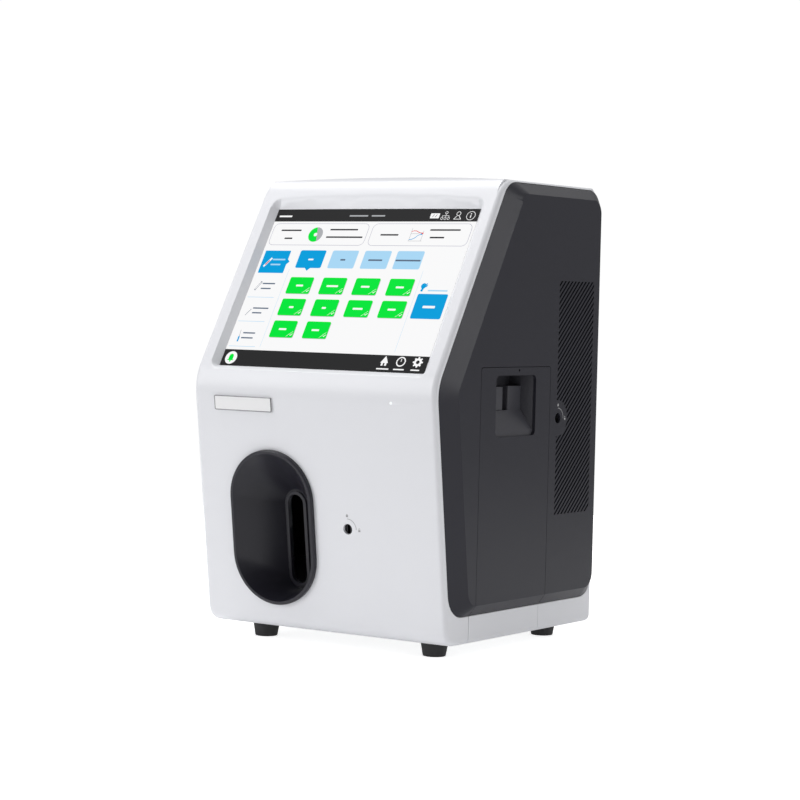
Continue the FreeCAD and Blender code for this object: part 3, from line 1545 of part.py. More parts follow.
def main_board():
    right = bulkhead_left - board_spacer
    left = right - board_thick
    z = underside + board_bottom
    board = box(left, right, board_y, board_y + board_width, z, z + board_tall)
    middle_y = board_y + board_width / 2
    middle_z = z + board_tall / 2
    centres = [(middle_y + sy * chip_size, middle_z + sz * chip_size * 1.5) for sy in (-1, 1) for sz in (-1, 1)]
    half = chip_size / 2
    chips = [box(left - chip_rise, left, cy - half, cy + half, cz - half, cz + half) for cy, cz in centres]
    sockets = [box(left - socket_size, left, middle_y - socket_width / 2, middle_y + socket_width / 2,
                   low, low + socket_size)
               for low in (z + board_inset, z + board_tall - board_inset - socket_size)]
    return board.fuse(chips + sockets).removeSplitter()


def board_spacers():
    return Part.makeCompound([rod(bulkhead_left - board_spacer, y, z, V(1, 0, 0), board_spacer_radius,
                                  board_spacer) for y, z in board_corners()])


# Power supply, mains inlet with rocker switch, data ports
def power_supply():
    can = box(supply_x, supply_x + supply_width, supply_y, supply_y + supply_depth, pan_top,
              pan_top + supply_tall)
    can = round_edges(can, overrun, lambda edge: along(edge, V(0, 1, 0)))
    count = int((supply_width - 2 * supply_slot_pitch) / supply_slot_pitch)
    slots = [box(supply_x + (index + 1) * supply_slot_pitch,
                 supply_x + (index + 1) * supply_slot_pitch + supply_slot,
                 supply_y + supply_slot_pitch, supply_y + supply_depth - supply_slot_pitch,
                 pan_top + supply_tall - supply_slot, pan_top + supply_tall + overrun)
             for index in range(count)]
    return can.cut(slots)


inlet_z = underside + inlet_height
rocker_x = inlet_x + rocker_shift


def power_inlet():
    half_x = inlet_width / 2
    half_z = inlet_tall / 2
    clear = seam_gap / 2
    body = box(inlet_x - half_x + clear, inlet_x + half_x - clear, half_depth - inlet_body_depth,
               half_depth, inlet_z - half_z + clear, inlet_z + half_z - clear)
    margin = inlet_flange_margin
    flange = box(inlet_x - half_x - margin, inlet_x + half_x + margin, half_depth,
                 half_depth + inlet_flange / 2, inlet_z - half_z - margin, inlet_z + half_z + margin)
    flange = round_edges(flange, margin, lambda edge: along(edge, V(0, 1, 0)))
    well_x = inlet_x - inlet_well_shift
    well = box(well_x - inlet_well_width / 2, well_x + inlet_well_width / 2,
               half_depth - inlet_well_depth, high_y + inlet_flange,
               inlet_z - inlet_well_tall / 2, inlet_z + inlet_well_tall / 2)
    well = round_edges(well, margin, lambda edge: along(edge, V(0, 1, 0)))
    clear = rocker_clear
    hole = box(rocker_x - rocker_width / 2 - clear, rocker_x + rocker_width / 2 + clear,
               half_depth - rocker_radius, high_y + inlet_flange,
               inlet_z - rocker_tall / 2 - clear, inlet_z + rocker_tall / 2 + clear)
    pins = [box(well_x + index * inlet_pin_pitch - inlet_pin_width / 2,
                well_x + index * inlet_pin_pitch + inlet_pin_width / 2,
                half_depth - inlet_well_depth - overrun, half_depth - overrun * 2,
                inlet_z - inlet_pin_thick / 2, inlet_z + inlet_pin_thick / 2) for index in (-1, 0, 1)]
    bearing = rod(rocker_x - rocker_width / 2 - clear - rocker_pin_radius, rocker_pivot_y(), inlet_z,
                  V(1, 0, 0), rocker_pin_radius + shaft_clear,
                  rocker_width + 2 * clear + 2 * rocker_pin_radius)
    return body.fuse(flange).removeSplitter().cut([well, hole, bearing]).fuse(pins)


def rocker_pivot_y():
    return half_depth - rocker_pin_radius * 3


def power_switch():
    """Rocker with two flats that meet at a shallow angle, resting with its lower half pressed."""
    y = rocker_pivot_y()
    crest = half_depth + inlet_flange / 2 + rocker_rise
    half = rocker_tall / 2 - rocker_clear
    tilt = math.radians(rocker_throw / 2)
    drop = math.tan(tilt) * half
    points = [(y - rocker_radius / 3, -half * 3 / 4), (crest - drop, -half), (crest - drop * 2 / 3, 0),
              (crest - drop, half), (y - rocker_radius / 3, half * 3 / 4)]
    corners = [V(rocker_x - rocker_width / 2, py, inlet_z + pz) for py, pz in points]
    rocker = Part.Face(Part.makePolygon(corners + corners[:1])).extrude(V(rocker_width, 0, 0))
    pin = rod(rocker_x - rocker_width / 2 - rocker_clear - rocker_pin_radius / 2, y, inlet_z, V(1, 0, 0),
              rocker_pin_radius, rocker_width + 2 * rocker_clear + rocker_pin_radius)
    rocker = rocker.fuse(pin).removeSplitter()
    rocker.rotate(V(rocker_x, y, inlet_z), V(1, 0, 0), -rocker_throw / 2)
    return rocker


def data_ports():
    z = underside + ports_height
    half_x = ports_width / 2 - seam_gap / 2
    half_z = ports_tall / 2 - seam_gap / 2
    block = box(ports_x - half_x, ports_x + half_x, half_depth - ports_depth, half_depth, z - half_z,
                z + half_z)
    jacks = [box(ports_x + index * jack_pitch - jack_width / 2,
                 ports_x + index * jack_pitch + jack_width / 2, half_depth - jack_depth, high_y,
                 z - jack_tall / 2, z + jack_tall / 2) for index in range(-(jack_count // 2),
                                                                          jack_count // 2 + 1)]
    return block.cut(jacks)


# Cooling fans behind the through slots of the right panel
fan_y = duct_low_y + duct_width / 2
fan_mid_z = duct_low_z + duct_height / 2
panel_inner_x = panel_face_x - panel_wall


def fan_heights():
    return [fan_mid_z + (index - (fan_count - 1) / 2) * fan_pitch for index in range(fan_count)]


fan_right = panel_seat_x


def fan_shroud():
    """Box frame that seats the fans on the back of the right panel."""
    half_y = fan_size / 2
    low = fan_heights()[0] - fan_size / 2
    high = fan_heights()[-1] + fan_size / 2
    w = shroud_wall
    outer = box(fan_right + shroud_gap, panel_inner_x, fan_y - half_y, fan_y + half_y, low, high)
    inner = box(fan_right, panel_inner_x + overrun, fan_y - half_y + w, fan_y + half_y - w, low + w, high - w)
    return outer.cut(inner)


def fan_frames():
    frames = []
    for z in fan_heights():
        half = fan_size / 2
        frame = box(fan_right - fan_thick, fan_right, fan_y - half, fan_y + half, z - half, z + half)
        frame = round_edges(frame, overrun * 2, lambda edge: along(edge, V(1, 0, 0)))
        bore = rod(fan_right - fan_thick - overrun, fan_y, z, V(1, 0, 0), fan_bore_radius,
                   fan_thick + 2 * overrun)
        x = fan_right - fan_thick
        spokes = [box(x, x + overrun, fan_y - fan_spoke / 2, fan_y + fan_spoke / 2,
                      z - fan_bore_radius - overrun, z + fan_bore_radius + overrun),
                  box(x, x + overrun, fan_y - fan_bore_radius - overrun,
                      fan_y + fan_bore_radius + overrun, z - fan_spoke / 2, z + fan_spoke / 2)]
        motor = rod(x, fan_y, z, V(1, 0, 0), fan_motor_radius, fan_motor_thick)
        hole = rod(x - overrun, fan_y, z, V(1, 0, 0), fan_pin_radius + shaft_clear,
                   fan_motor_thick + 2 * overrun)
        frames.append(frame.cut(bore).fuse(spokes + [motor]).removeSplitter().cut(hole))
    return Part.makeCompound(frames)


def fan_rotor(z):
    x = fan_right - fan_thick + fan_motor_thick + run_gap
    top = fan_right - run_gap * 2
    hub = rod(x, fan_y, z, V(1, 0, 0), fan_hub_radius, top - x)
    pin = rod(fan_right - fan_thick + overrun / 2, fan_y, z, V(1, 0, 0), fan_pin_radius,
              x - fan_right + fan_thick)
    reach = fan_bore_radius - fan_blade_gap
    blades = []
    for index in range(fan_blade_count):
        blade = box(x + overrun / 2, top - overrun / 2, fan_y - fan_blade_thick / 2,
                    fan_y + fan_blade_thick / 2, z, z + reach)
        blade.rotate(V((x + top) / 2, fan_y, z), V(0, 0, 1), fan_blade_pitch)
        blade.rotate(V(x, fan_y, z), V(1, 0, 0), index * math.degrees(2 * math.pi) / fan_blade_count)
        blades.append(blade)
    limit = rod(x, fan_y, z, V(1, 0, 0), reach, top - x)
    return hub.fuse([pin] + [blade.common(limit) for blade in blades]).removeSplitter()


# Flat cable from the driver board's socket back to the main board's socket
def screen_cable():
    frame = slope_frame()
    low = driver_board_low() - socket_size / 2
    half = ribbon_width / 2
    ends = [frame.multVec(V(0, side * half, low)) for side in (-1, 1)]
    left = bulkhead_left - board_spacer - board_thick - socket_size - ribbon_thick
    back_y = board_y + board_width / 2 + socket_width / 2
    z = ends[0].z + half
    points = [(ends[0].y, ends[0].z), (ends[1].y, ends[1].z), (back_y, z + half), (back_y, z - half)]
    return polygon_prism(points, left, left + ribbon_thick)


# Sample tube from the probe's hub to the measuring block
def sample_tube():
    hub = face_frame().multVec(V(port_x, pivot_y, pivot_z))
    start_y = hub.y + probe_hub_radius + run_gap
    tube = rod(port_x, start_y, hub.z, V(0, 1, 0), hose_radius, block_y - start_y)
    return tube.cut(rod(port_x, start_y - overrun, hub.z, V(0, 1, 0), hose_bore,
                        block_y - start_y + 2 * overrun))


# Every node of the part, by name
nodes = {
    "front_shell": front_shell,
    "rear_cover": rear_cover,
    "right_panel": right_panel,
    "left_panel": left_panel,
    "base_pan": base_pan,
    "rubber_feet": rubber_feet,
    "foot_screws": foot_screws,
    "cover_screws": cover_screws,
    "bulkhead": bulkhead,
    "top_rail": top_rail,
    "touch_glass": touch_glass,
    "lcd_module": lcd_module,
    "display_bracket": display_bracket,
    "display_screws": display_screws,
    "display_board": display_board,
    "screen_cable": screen_cable,
    "badge_plate": badge_plate,
    "status_light": status_light,
    "sampling_bowl": sampling_bowl,
    "probe_arm": probe_arm,
    "sample_needle": sample_needle,
    "probe_motor": probe_motor,
    "probe_bracket": probe_bracket,
    "sample_tube": sample_tube,
    "front_lock_sleeve": lambda: on_frame(lock_sleeve(), front_lock_frame()),
    "front_lock": lambda: on_frame(lock_barrel(front_cam_reach, wall), front_lock_frame()),
    "side_lock_sleeve": lambda: on_frame(lock_sleeve(), side_lock_frame()),
    "side_lock": lambda: on_frame(lock_barrel(side_cam_reach, panel_wall), side_lock_frame()),
    "pack_front": pack_front,
    "pack_skirt": pack_skirt,
    "grip_cup": grip_cup,
    "release_bar": release_bar,
    "pack_case": pack_case,
    "pack_end_cap": pack_end_cap,
    "pack_coupler": pack_coupler,
    "reagent_bags": reagent_bags,
    "bag_tray": bag_tray,
    "waste_bag": waste_bag,
    "pack_rails": pack_rails,
    "fluid_needles": fluid_needles,
    "measuring_block": measuring_block,
    "sensor_card": sensor_card,
    "sensor_cover": sensor_cover,
    "pump_motor": pump_motor,
    "pump_head": pump_head,
    "pump_rotor": pump_rotor,
    "pump_rollers": pump_rollers,
    "pump_tube": pump_tube,
    "valve_plate": valve_plate_block,
    "solenoid_valves": solenoid_valves,
    "main_board": main_board,
    "board_spacers": board_spacers,
    "power_supply": power_supply,
    "power_inlet": power_inlet,
    "power_switch": power_switch,
    "data_ports": data_ports,
    "fan_shroud": fan_shroud,
    "fan_frames": fan_frames,
    "fan_rotor_lower": lambda: fan_rotor(fan_heights()[0]),
    "fan_rotor_upper": lambda: fan_rotor(fan_heights()[-1]),
}

os.makedirs("parts", exist_ok=True)
for name, make in nodes.items():
    shape = make()
    if not shape.isValid() or shape.Volume <= 0:
        print("check", name, shape.isValid(), round(shape.Volume))
    shape.exportStep("parts/" + name + ".step")
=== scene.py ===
import json
import math
import bpy
from mathutils import Matrix, Vector


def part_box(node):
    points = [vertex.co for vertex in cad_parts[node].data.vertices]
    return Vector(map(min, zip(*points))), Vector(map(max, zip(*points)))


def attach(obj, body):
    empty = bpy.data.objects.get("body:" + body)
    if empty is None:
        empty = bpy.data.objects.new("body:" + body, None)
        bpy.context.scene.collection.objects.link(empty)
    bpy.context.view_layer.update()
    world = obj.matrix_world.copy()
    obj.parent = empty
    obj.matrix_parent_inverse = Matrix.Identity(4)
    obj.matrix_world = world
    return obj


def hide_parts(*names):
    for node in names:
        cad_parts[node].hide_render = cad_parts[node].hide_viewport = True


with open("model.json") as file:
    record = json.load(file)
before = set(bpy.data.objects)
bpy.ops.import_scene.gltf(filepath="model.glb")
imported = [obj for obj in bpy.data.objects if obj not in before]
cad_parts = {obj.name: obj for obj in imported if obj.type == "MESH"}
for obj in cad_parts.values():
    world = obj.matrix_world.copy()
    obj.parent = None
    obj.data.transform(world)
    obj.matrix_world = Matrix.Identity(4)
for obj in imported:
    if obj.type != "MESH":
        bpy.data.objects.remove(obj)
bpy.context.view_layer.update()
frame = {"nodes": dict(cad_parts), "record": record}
bpy.ops.object.select_all(action="DESELECT")


# Camera. It stands in front, to the right of the analyzer and a little above its middle,
# with a long lens that looks slightly down and leans a degree.
turn = math.radians(34.234)
dip = math.radians(2.333)
roll = math.radians(1.361)
focal_length, film_width, sight = 106.308, 36, 50
standpoint = Vector((1.16177, -1.70549, 0.29216))
ahead = Vector((-math.sin(turn) * math.cos(dip), math.cos(turn) * math.cos(dip), -math.sin(dip)))
level = Vector((math.cos(turn), math.sin(turn), 0))
upright = level.cross(ahead)
across = level * math.cos(roll) + upright * math.sin(roll)
upward = upright * math.cos(roll) - level * math.sin(roll)
bpy.ops.object.camera_add()
camera = bpy.context.object
camera.name = "camera"
camera.data.sensor_width = film_width
camera.data.lens = focal_length
camera.data.clip_end = sight
camera.matrix_world = Matrix((
    (across.x, upward.x, -ahead.x, standpoint.x),
    (across.y, upward.y, -ahead.y, standpoint.y),
    (across.z, upward.z, -ahead.z, standpoint.z),
    (0, 0, 0, 1)))
bpy.context.scene.camera = camera


# Studio. One large soft light hangs above to the left, a tall one stands in front on the same
# side, and two strips, on the right and behind, draw the bevels. The pale round floor and the white
# surroundings look brighter to the camera than they light the analyzer.
world_light, world_seen = 0.37, 1.02
floor_radius, floor_tone = 1.3, 0.85
floor_glow, floor_glow_added = 0.24, 0.55


def soft_light(name, place, aim, width, height, power):
    """A rectangular lamp, width by height in metres, that faces the point aimed at."""
    bpy.ops.object.light_add(type="AREA", location=place)
    light = bpy.context.object
    light.name = name
    light.data.shape = "RECTANGLE"
    light.data.size = width
    light.data.size_y = height
    light.data.energy = power
    light.visible_camera = False
    light.rotation_euler = (Vector(aim) - Vector(place)).to_track_quat("-Z", "Y").to_euler()


soft_light("top_light", (-0.8, -0.1, 2.2), (0, 0, 0.2), width=1.8, height=1.4, power=35)
soft_light("front_light", (-1.62, -2.23, 1.2), (0, 0, 0.25), width=1.0, height=1.6, power=24)
soft_light("strip_light", (2.0, 0.85, 0.75), (0, 0, 0.3), width=0.35, height=1.1, power=7)
soft_light("back_light", (0.7, 1.6, 1.5), (0, 0, 0.3), width=1.4, height=0.4, power=1.6)
world = bpy.data.worlds.new("studio")
world.use_nodes = True
sky_tree = world.node_tree
backdrop = sky_tree.nodes["Background"]
backdrop.inputs["Color"].default_value = (1, 1, 1, 1)
world_ray = sky_tree.nodes.new("ShaderNodeLightPath")
brightness = sky_tree.nodes.new("ShaderNodeMapRange")
brightness.inputs["To Min"].default_value = world_light
brightness.inputs["To Max"].default_value = world_seen
sky_tree.links.new(world_ray.outputs["Is Camera Ray"], brightness.inputs["Value"])
sky_tree.links.new(brightness.outputs["Result"], backdrop.inputs["Strength"])
bpy.context.scene.world = world
bpy.context.scene.view_settings.view_transform = "Standard"
bpy.ops.mesh.primitive_circle_add(vertices=96, radius=floor_radius, fill_type="NGON")
floor = bpy.context.object
floor.name = "floor"
floor_paint = bpy.data.materials.new("pale_floor")
floor_paint.use_nodes = True
floor_tree = floor_paint.node_tree
floor_surface = floor_tree.nodes["Principled BSDF"]
floor_surface.inputs["Base Color"].default_value = (floor_tone, floor_tone, floor_tone, 1)
floor_surface.inputs["Roughness"].default_value = 0.8
floor_surface.inputs["Emission Color"].default_value = (1, 1, 1, 1)
floor_ray = floor_tree.nodes.new("ShaderNodeLightPath")
floor_sum = floor_tree.nodes.new("ShaderNodeMath")
floor_sum.operation = "MULTIPLY_ADD"
floor_sum.inputs[1].default_value = floor_glow_added
floor_sum.inputs[2].default_value = floor_glow
floor_tree.links.new(floor_ray.outputs["Is Camera Ray"], floor_sum.inputs[0])
floor_tree.links.new(floor_sum.outputs["Value"], floor_surface.inputs["Emission Strength"])
floor.data.materials.append(floor_paint)


# White case. Front shell, rear cover and the pack's skirt are injection moulded in a satin white
# with a very fine spark texture, and meet at hairline seams.
nodes = frame["nodes"]
home_body = {node: body for body, members in frame["record"]["behaviour"]["bodies"].items()
             for node in members}
weld_gap, flat_angle, edge_angle = 0.000002, math.radians(0.1), math.radians(50)


def moulded(name, colour, roughness, grain, depth, shade=0.03, shine=0.5, spread=0.05):
    """Moulded plastic: a fine spark-eroded grain as bump, and a faint cloud in colour and gloss."""
    material = bpy.data.materials.new(name)
    material.use_nodes = True
    tree = material.node_tree
    surface = tree.nodes["Principled BSDF"]
    surface.inputs["Specular IOR Level"].default_value = shine
    place = tree.nodes.new("ShaderNodeTexCoord")
    cloud = tree.nodes.new("ShaderNodeTexNoise")
    cloud.name = "cloud"
    cloud.inputs["Scale"].default_value = 14
    cloud.inputs["Detail"].default_value = 3
    tree.links.new(place.outputs["Object"], cloud.inputs["Vector"])
    tint = tree.nodes.new("ShaderNodeMix")
    tint.name = "tint"
    tint.data_type = "RGBA"
    tint.inputs["A"].default_value = [channel * (1 - shade) for channel in colour] + [1]
    tint.inputs["B"].default_value = [min(channel * (1 + shade), 1) for channel in colour] + [1]
    tree.links.new(cloud.outputs["Fac"], tint.inputs["Factor"])
    tree.links.new(tint.outputs["Result"], surface.inputs["Base Color"])
    gloss = tree.nodes.new("ShaderNodeMapRange")
    gloss.inputs["To Min"].default_value = roughness - spread
    gloss.inputs["To Max"].default_value = roughness + spread
    tree.links.new(cloud.outputs["Fac"], gloss.inputs["Value"])
    tree.links.new(gloss.outputs["Result"], surface.inputs["Roughness"])
    pores = tree.nodes.new("ShaderNodeTexNoise")
    pores.name = "pores"
    pores.inputs["Scale"].default_value = grain
    pores.inputs["Detail"].default_value = 2
    tree.links.new(place.outputs["Object"], pores.inputs["Vector"])
    bump = tree.nodes.new("ShaderNodeBump")
    bump.inputs["Strength"].default_value = depth
    bump.inputs["Distance"].default_value = 0.0002
    tree.links.new(pores.outputs["Fac"], bump.inputs["Height"])
    tree.links.new(bump.outputs["Normal"], surface.inputs["Normal"])
    return material


def modify(piece, kind, **values):
    """Gives the active piece a modifier with these values, and applies it."""
    bpy.ops.object.modifier_add(type=kind)
    for name, value in values.items():
        setattr(piece.modifiers[-1], name, value)
    bpy.ops.object.modifier_apply(modifier=piece.modifiers[-1].name)


def dress(material, *names, sharp=30, edge=0):
    """Smooth-shaded copies of these pieces stand for them, some with their edges eased."""
    for name in names:
        bpy.ops.object.select_all(action="DESELECT")
        piece = bpy.data.objects.new(name + "_finish", nodes[name].data.copy())
        bpy.context.scene.collection.objects.link(piece)
        piece.select_set(True)
        bpy.context.view_layer.objects.active = piece
        bpy.ops.object.mode_set(mode="EDIT")
        bpy.ops.mesh.select_all(action="SELECT")
        bpy.ops.mesh.remove_doubles(threshold=weld_gap)
        bpy.ops.mesh.dissolve_limited(angle_limit=flat_angle)
        bpy.ops.object.mode_set(mode="OBJECT")
        if edge:
            modify(piece, "BEVEL", width=edge, segments=2, angle_limit=edge_angle)
        bpy.ops.object.shade_smooth_by_angle(angle=math.radians(sharp))
        modify(piece, "WEIGHTED_NORMAL", keep_sharp=True, weight=100)
        piece.data.materials.clear()
        piece.data.materials.append(material)
        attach(piece, home_body[name])
        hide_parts(name)


case_white = moulded("white_case_moulding", (0.755, 0.762, 0.797), roughness=0.32, grain=2600,
                     depth=0.05, shade=0.003, spread=0.01)
dress(case_white, "front_shell", "rear_cover", "pack_skirt")


# Side panels. Dark grey mouldings with a matt spark grain, screwed on from inside; flat bevels
# run round each panel and catch the light.
panel_dark = moulded("dark_panel_moulding", (0.0240, 0.0240, 0.0325), roughness=0.32, grain=1900,
                     depth=0.10, shade=0.05, shine=0.25, spread=0.02)
dress(panel_dark, "right_panel", "left_panel", sharp=12)


# Reagent pack's front. The same dark moulding as the side panels; the deep pocket of the grip
# behind it and the bar that releases the pack get a slightly lighter grey, which is painted light:
# it stands in for the light that falls into the pocket.
# The lighter grey here is painted light on the grip's pocket and the release bar.
grip_painted_light = moulded("grip_moulding_painted_light", (0.050, 0.050, 0.060), roughness=0.34, grain=1900, depth=0.08,
                    shade=0.05, shine=0.40)
dress(panel_dark, "pack_front", sharp=14)
dress(grip_painted_light, "grip_cup", "release_bar", sharp=32, edge=0.0005)


# Touch glass. A clear pane in the screen's recess, ground flat, held from behind; the screen
# module's dark face shows through its rim.
slope = math.radians(30.3)
screen_out = Vector((0, -math.cos(slope), math.sin(slope)))
screen_up = Vector((0, math.sin(slope), math.cos(slope)))
glass_points = [vertex.co for vertex in nodes["touch_glass"].data.vertices]
glass_level = max(point.dot(screen_out) for point in glass_points)
same_level = 0.0001
front_heights = [point.dot(screen_up) for point in glass_points
                 if point.dot(screen_out) > glass_level - same_level]
screen_middle = (screen_out * glass_level
                 + screen_up * (max(front_heights) + min(front_heights)) / 2)
screen_place = Matrix((
    (1, 0, 0, 0),
    (0, screen_up.y, screen_out.y, screen_middle.y),
    (0, screen_up.z, screen_out.z, screen_middle.z),
    (0, 0, 0, 1)))


def finish(material, *names):
    """The piece keeps its shape as it is and gets this finish."""
    for name in names:
        nodes[name].data.materials.clear()
        nodes[name].data.materials.append(material)


clear_glass = moulded("clear_glass", (0.80, 0.86, 0.84), roughness=0.07, grain=40, depth=0.0,
                      shade=0.01)
clear_glass.node_tree.nodes["Principled BSDF"].inputs["Alpha"].default_value = 0.25
finish(clear_glass, "touch_glass")


# Screen picture. What the lit screen shows, in thin glowing layers on the glass: a white page
# between two dark bars, flat coloured tiles, short bars where words stand, and plain icons. Its
# measures are millimetres from the screen's middle.
def lit(name, colour, strength=1.0):
    """A screen colour: it glows, with hardly any sheen."""
    material = bpy.data.materials.new(name)
    material.use_nodes = True
    surface = material.node_tree.nodes["Principled BSDF"]
    surface.inputs["Base Color"].default_value = (0, 0, 0, 1)
    surface.inputs["Roughness"].default_value = 0.3
    surface.inputs["Specular IOR Level"].default_value = 0.02
    surface.inputs["Emission Color"].default_value = (*colour, 1)
    surface.inputs["Emission Strength"].default_value = strength
    return material


page_white = lit("screen_page", (0.945, 0.945, 0.95))
bar_dark = lit("screen_bar", (0.026, 0.026, 0.027))
strong_blue = lit("screen_blue", (0.0, 0.342, 0.718))
pale_blue = lit("screen_pale_blue", (0.395, 0.68, 0.91))
leaf_green = lit("screen_green", (0.0, 0.79, 0.045))
outline_violet = lit("screen_outline", (0.40, 0.40, 0.50))
mid_grey = lit("screen_grey", (0.42, 0.43, 0.45))
slate = lit("screen_slate", (0.11, 0.15, 0.22))
ink = lit("screen_ink", (0.02, 0.02, 0.025))
warm_red = lit("screen_red", (0.78, 0.06, 0.05))
patches = []
layer_step = 0.00003


def tile(left, low, right, high, material, layer=1, corner=0.0):
    """A flat patch of the picture, with its corners rounded off where a radius is given."""
    place = ((left + right) / 2000, (low + high) / 2000, layer * layer_step)
    bpy.ops.mesh.primitive_plane_add(size=1, location=place)
    patch = bpy.context.object
    patch.scale = ((right - left) / 1000, (high - low) / 1000, 1)
    bpy.ops.object.transform_apply()
    if corner:
        bpy.ops.object.mode_set(mode="EDIT")
        bpy.ops.mesh.bevel(offset=corner / 1000, segments=4, affect="VERTICES")
        bpy.ops.object.mode_set(mode="OBJECT")
    patch.data.materials.append(material)
    patches.append(patch)
    return patch


def disc(x, y, radius, material, layer=2, sides=32):
    """A round patch, or one of few equal sides with a corner on top."""
    place = (x / 1000, y / 1000, layer * layer_step)
    bpy.ops.mesh.primitive_circle_add(vertices=sides, radius=radius / 1000, fill_type="NGON",
                                      location=place)
    patch = bpy.context.object
    bpy.ops.object.transform_apply()
    patch.data.materials.append(material)
    patches.append(patch)


def ring(x, y, radius, width, material, under, layer=3):
    """A round outline: a disc with a smaller one of the ground's colour on it."""
    disc(x, y, radius, material, layer)
    disc(x, y, radius - width, under, layer + 1)


def word(left, right, y, material, layer=3, height=1.5):
    """A short bar where the screen shows a word."""
    tile(left, y - height / 2, right, y + height / 2, material, layer, height * 0.3)


def settle(patch, x, y, angle):
    """Turns a patch that was drawn round the screen's middle and moves it to its place."""
    patch.rotation_euler[2] = angle
    patch.location = (x / 1000, y / 1000, 0)
    bpy.ops.object.transform_apply()


def stroke(start, end, width, material, layer=3):
    """A straight stroke between two points."""
    (x0, y0), (x1, y1) = start, end
    length = math.hypot(x1 - x0, y1 - y0)
    patch = tile(-length / 2, -width / 2, length / 2, width / 2, material, layer)
    settle(patch, (x0 + x1) / 2, (y0 + y1) / 2, math.atan2(y1 - y0, x1 - x0))


half_wide, half_high = 105.5, 79.1
top_bar_low, bottom_bar_high = 66.6, -63.1
tile(-half_wide, -half_high, half_wide, half_high, page_white, 1)
tile(-half_wide, top_bar_low, half_wide, half_high, bar_dark, 2)
tile(-half_wide, -half_high, half_wide, bottom_bar_high, bar_dark, 2)
box_low, box_high, box_corner, box_line = 42.3, 64.6, 5.0, 0.4
for left, right in ((-103.4, -1.3), (2.5, 103.2)):
    tile(left, box_low, right, box_high, outline_violet, 2, box_corner)
    tile(left + box_line, box_low + box_line, right - box_line, box_high - box_line, page_white, 3,
         box_corner - box_line)

# Top bar: a name bar on the left, two in the middle, and five small white icons on the right.
word(-102.0, -88.2, 72.0, page_white, 3, 1.7)
word(-26.5, -7.0, 72.4, mid_grey, 3, 1.4)
word(-3.3, 10.7, 72.4, mid_grey, 3, 1.4)
tile(57.2, 69.8, 66.3, 74.8, page_white, 3, 0.6)
for x in (59.6, 62.4):
    stroke((x, 70.9), (x + 1.3, 73.8), 0.5, bar_dark, 4)
ring(72.7, 75.4, 1.4, 0.4, page_white, bar_dark)
for x in (69.4, 72.7, 76.0):
    ring(x, 69.7, 1.3, 0.4, page_white, bar_dark)
    stroke((x, 71.0), (x, 72.4), 0.4, page_white, 3)
stroke((69.4, 72.4), (76.0, 72.4), 0.4, page_white, 3)
stroke((72.7, 72.4), (72.7, 74.0), 0.4, page_white, 3)
ring(85.0, 74.4, 2.2, 0.5, page_white, bar_dark)
for side in (-1, 1):
    stroke((85.0 + side * 1.2, 72.0), (85.0 + side * 3.6, 68.9), 0.6, page_white, 3)
stroke((81.6, 69.0), (88.4, 69.0), 0.5, page_white, 3)
ring(97.6, 72.4, 4.4, 0.5, page_white, bar_dark)
disc(97.6, 74.2, 0.6, page_white, 5)
stroke((97.6, 72.8), (97.6, 70.2), 0.9, page_white, 5)

# Left information box: two words each side of a round gauge, green on its left and grey on its
# right.
for left, right, y in ((-94.0, -72.2, 57.5), (-87.5, -79.0, 49.3), (-41.5, -12.2, 58.3),
                       (-43.2, -4.8, 50.7)):
    word(left, right, y, ink, 4)
gauge_x, gauge_y, gauge_radius, gauge_split = -55.4, 53.2, 7.4, 1.4
disc(gauge_x, gauge_y, gauge_radius, mid_grey, 4)
disc(gauge_x, gauge_y, gauge_radius, leaf_green, 5)
bpy.ops.object.mode_set(mode="EDIT")
bpy.ops.mesh.select_all(action="SELECT")
bpy.ops.mesh.bisect(plane_co=((gauge_x + gauge_split) / 1000, gauge_y / 1000, 0),
                    plane_no=(1, 0.25, 0), clear_outer=True, use_fill=False)
bpy.ops.object.mode_set(mode="OBJECT")
disc(gauge_x, gauge_y, 1.8, page_white, 6)

# Right information box: words each side of a small chart with two curves.
for left, right, y in ((13.0, 31.5, 53.2), (62.1, 92.5, 58.2), (64.2, 78.7, 50.7)):
    word(left, right, y, ink, 4)
for start, end in (((43.9, 47.0), (43.9, 59.9)), ((56.0, 47.0), (56.0, 57.4)),
                   ((43.2, 47.2), (56.9, 47.2)), ((43.8, 54.5), (52.4, 54.5))):
    stroke(start, end, 0.35, mid_grey, 4)
red_curve = ((43.8, 56.4), (46.2, 57.4), (48.9, 57.2), (52.0, 55.6), (55.7, 54.9))
blue_curve = ((43.9, 48.5), (46.6, 48.9), (48.9, 50.0), (51.6, 52.8), (54.6, 54.0))
for colour, bends in ((warm_red, red_curve), (strong_blue, blue_curve)):
    for start, end in zip(bends, bends[1:]):
        stroke(start, end, 0.6, colour, 5)
    disc(*bends[-1], 0.8, colour, 5)

# Left column: a blue tile that points right, then three pairs of words with a small icon, each
# over a thin line.
tile(-102.5, 13.8, -75.0, 36.6, strong_blue, 2, 0.8)
settle(tile(-1.9, -1.9, 1.9, 1.9, strong_blue, 2), -75.1, 25.4, math.pi / 4)
word(-91.4, -77.8, 27.5, pale_blue, 3)
word(-91.9, -81.2, 22.4, pale_blue, 3)
stroke((-98.9, 20.3), (-92.6, 29.0), 1.9, page_white, 3)
stroke((-97.6, 22.1), (-94.4, 26.5), 1.0, warm_red, 4)
for y, rows in ((-10.8, ((-92.5, -79.0, 3.0), (-92.7, -81.8, -2.0))),
                (-35.0, ((-92.8, -76.1, -21.8), (-92.0, -81.8, -26.5))),
                (-59.9, ((-93.3, -80.2, -46.6), (-93.5, -80.9, -51.5)))):
    tile(-103.4, y - 0.2, -75.0, y + 0.2, pale_blue, 2)
    for left, right, height in rows:
        word(left, right, height, slate, 3, 1.3)
stroke((-98.6, -3.7), (-93.9, 4.9), 1.7, slate, 3)
stroke((-98.3, -3.1), (-94.3, 4.2), 1.0, page_white, 4)
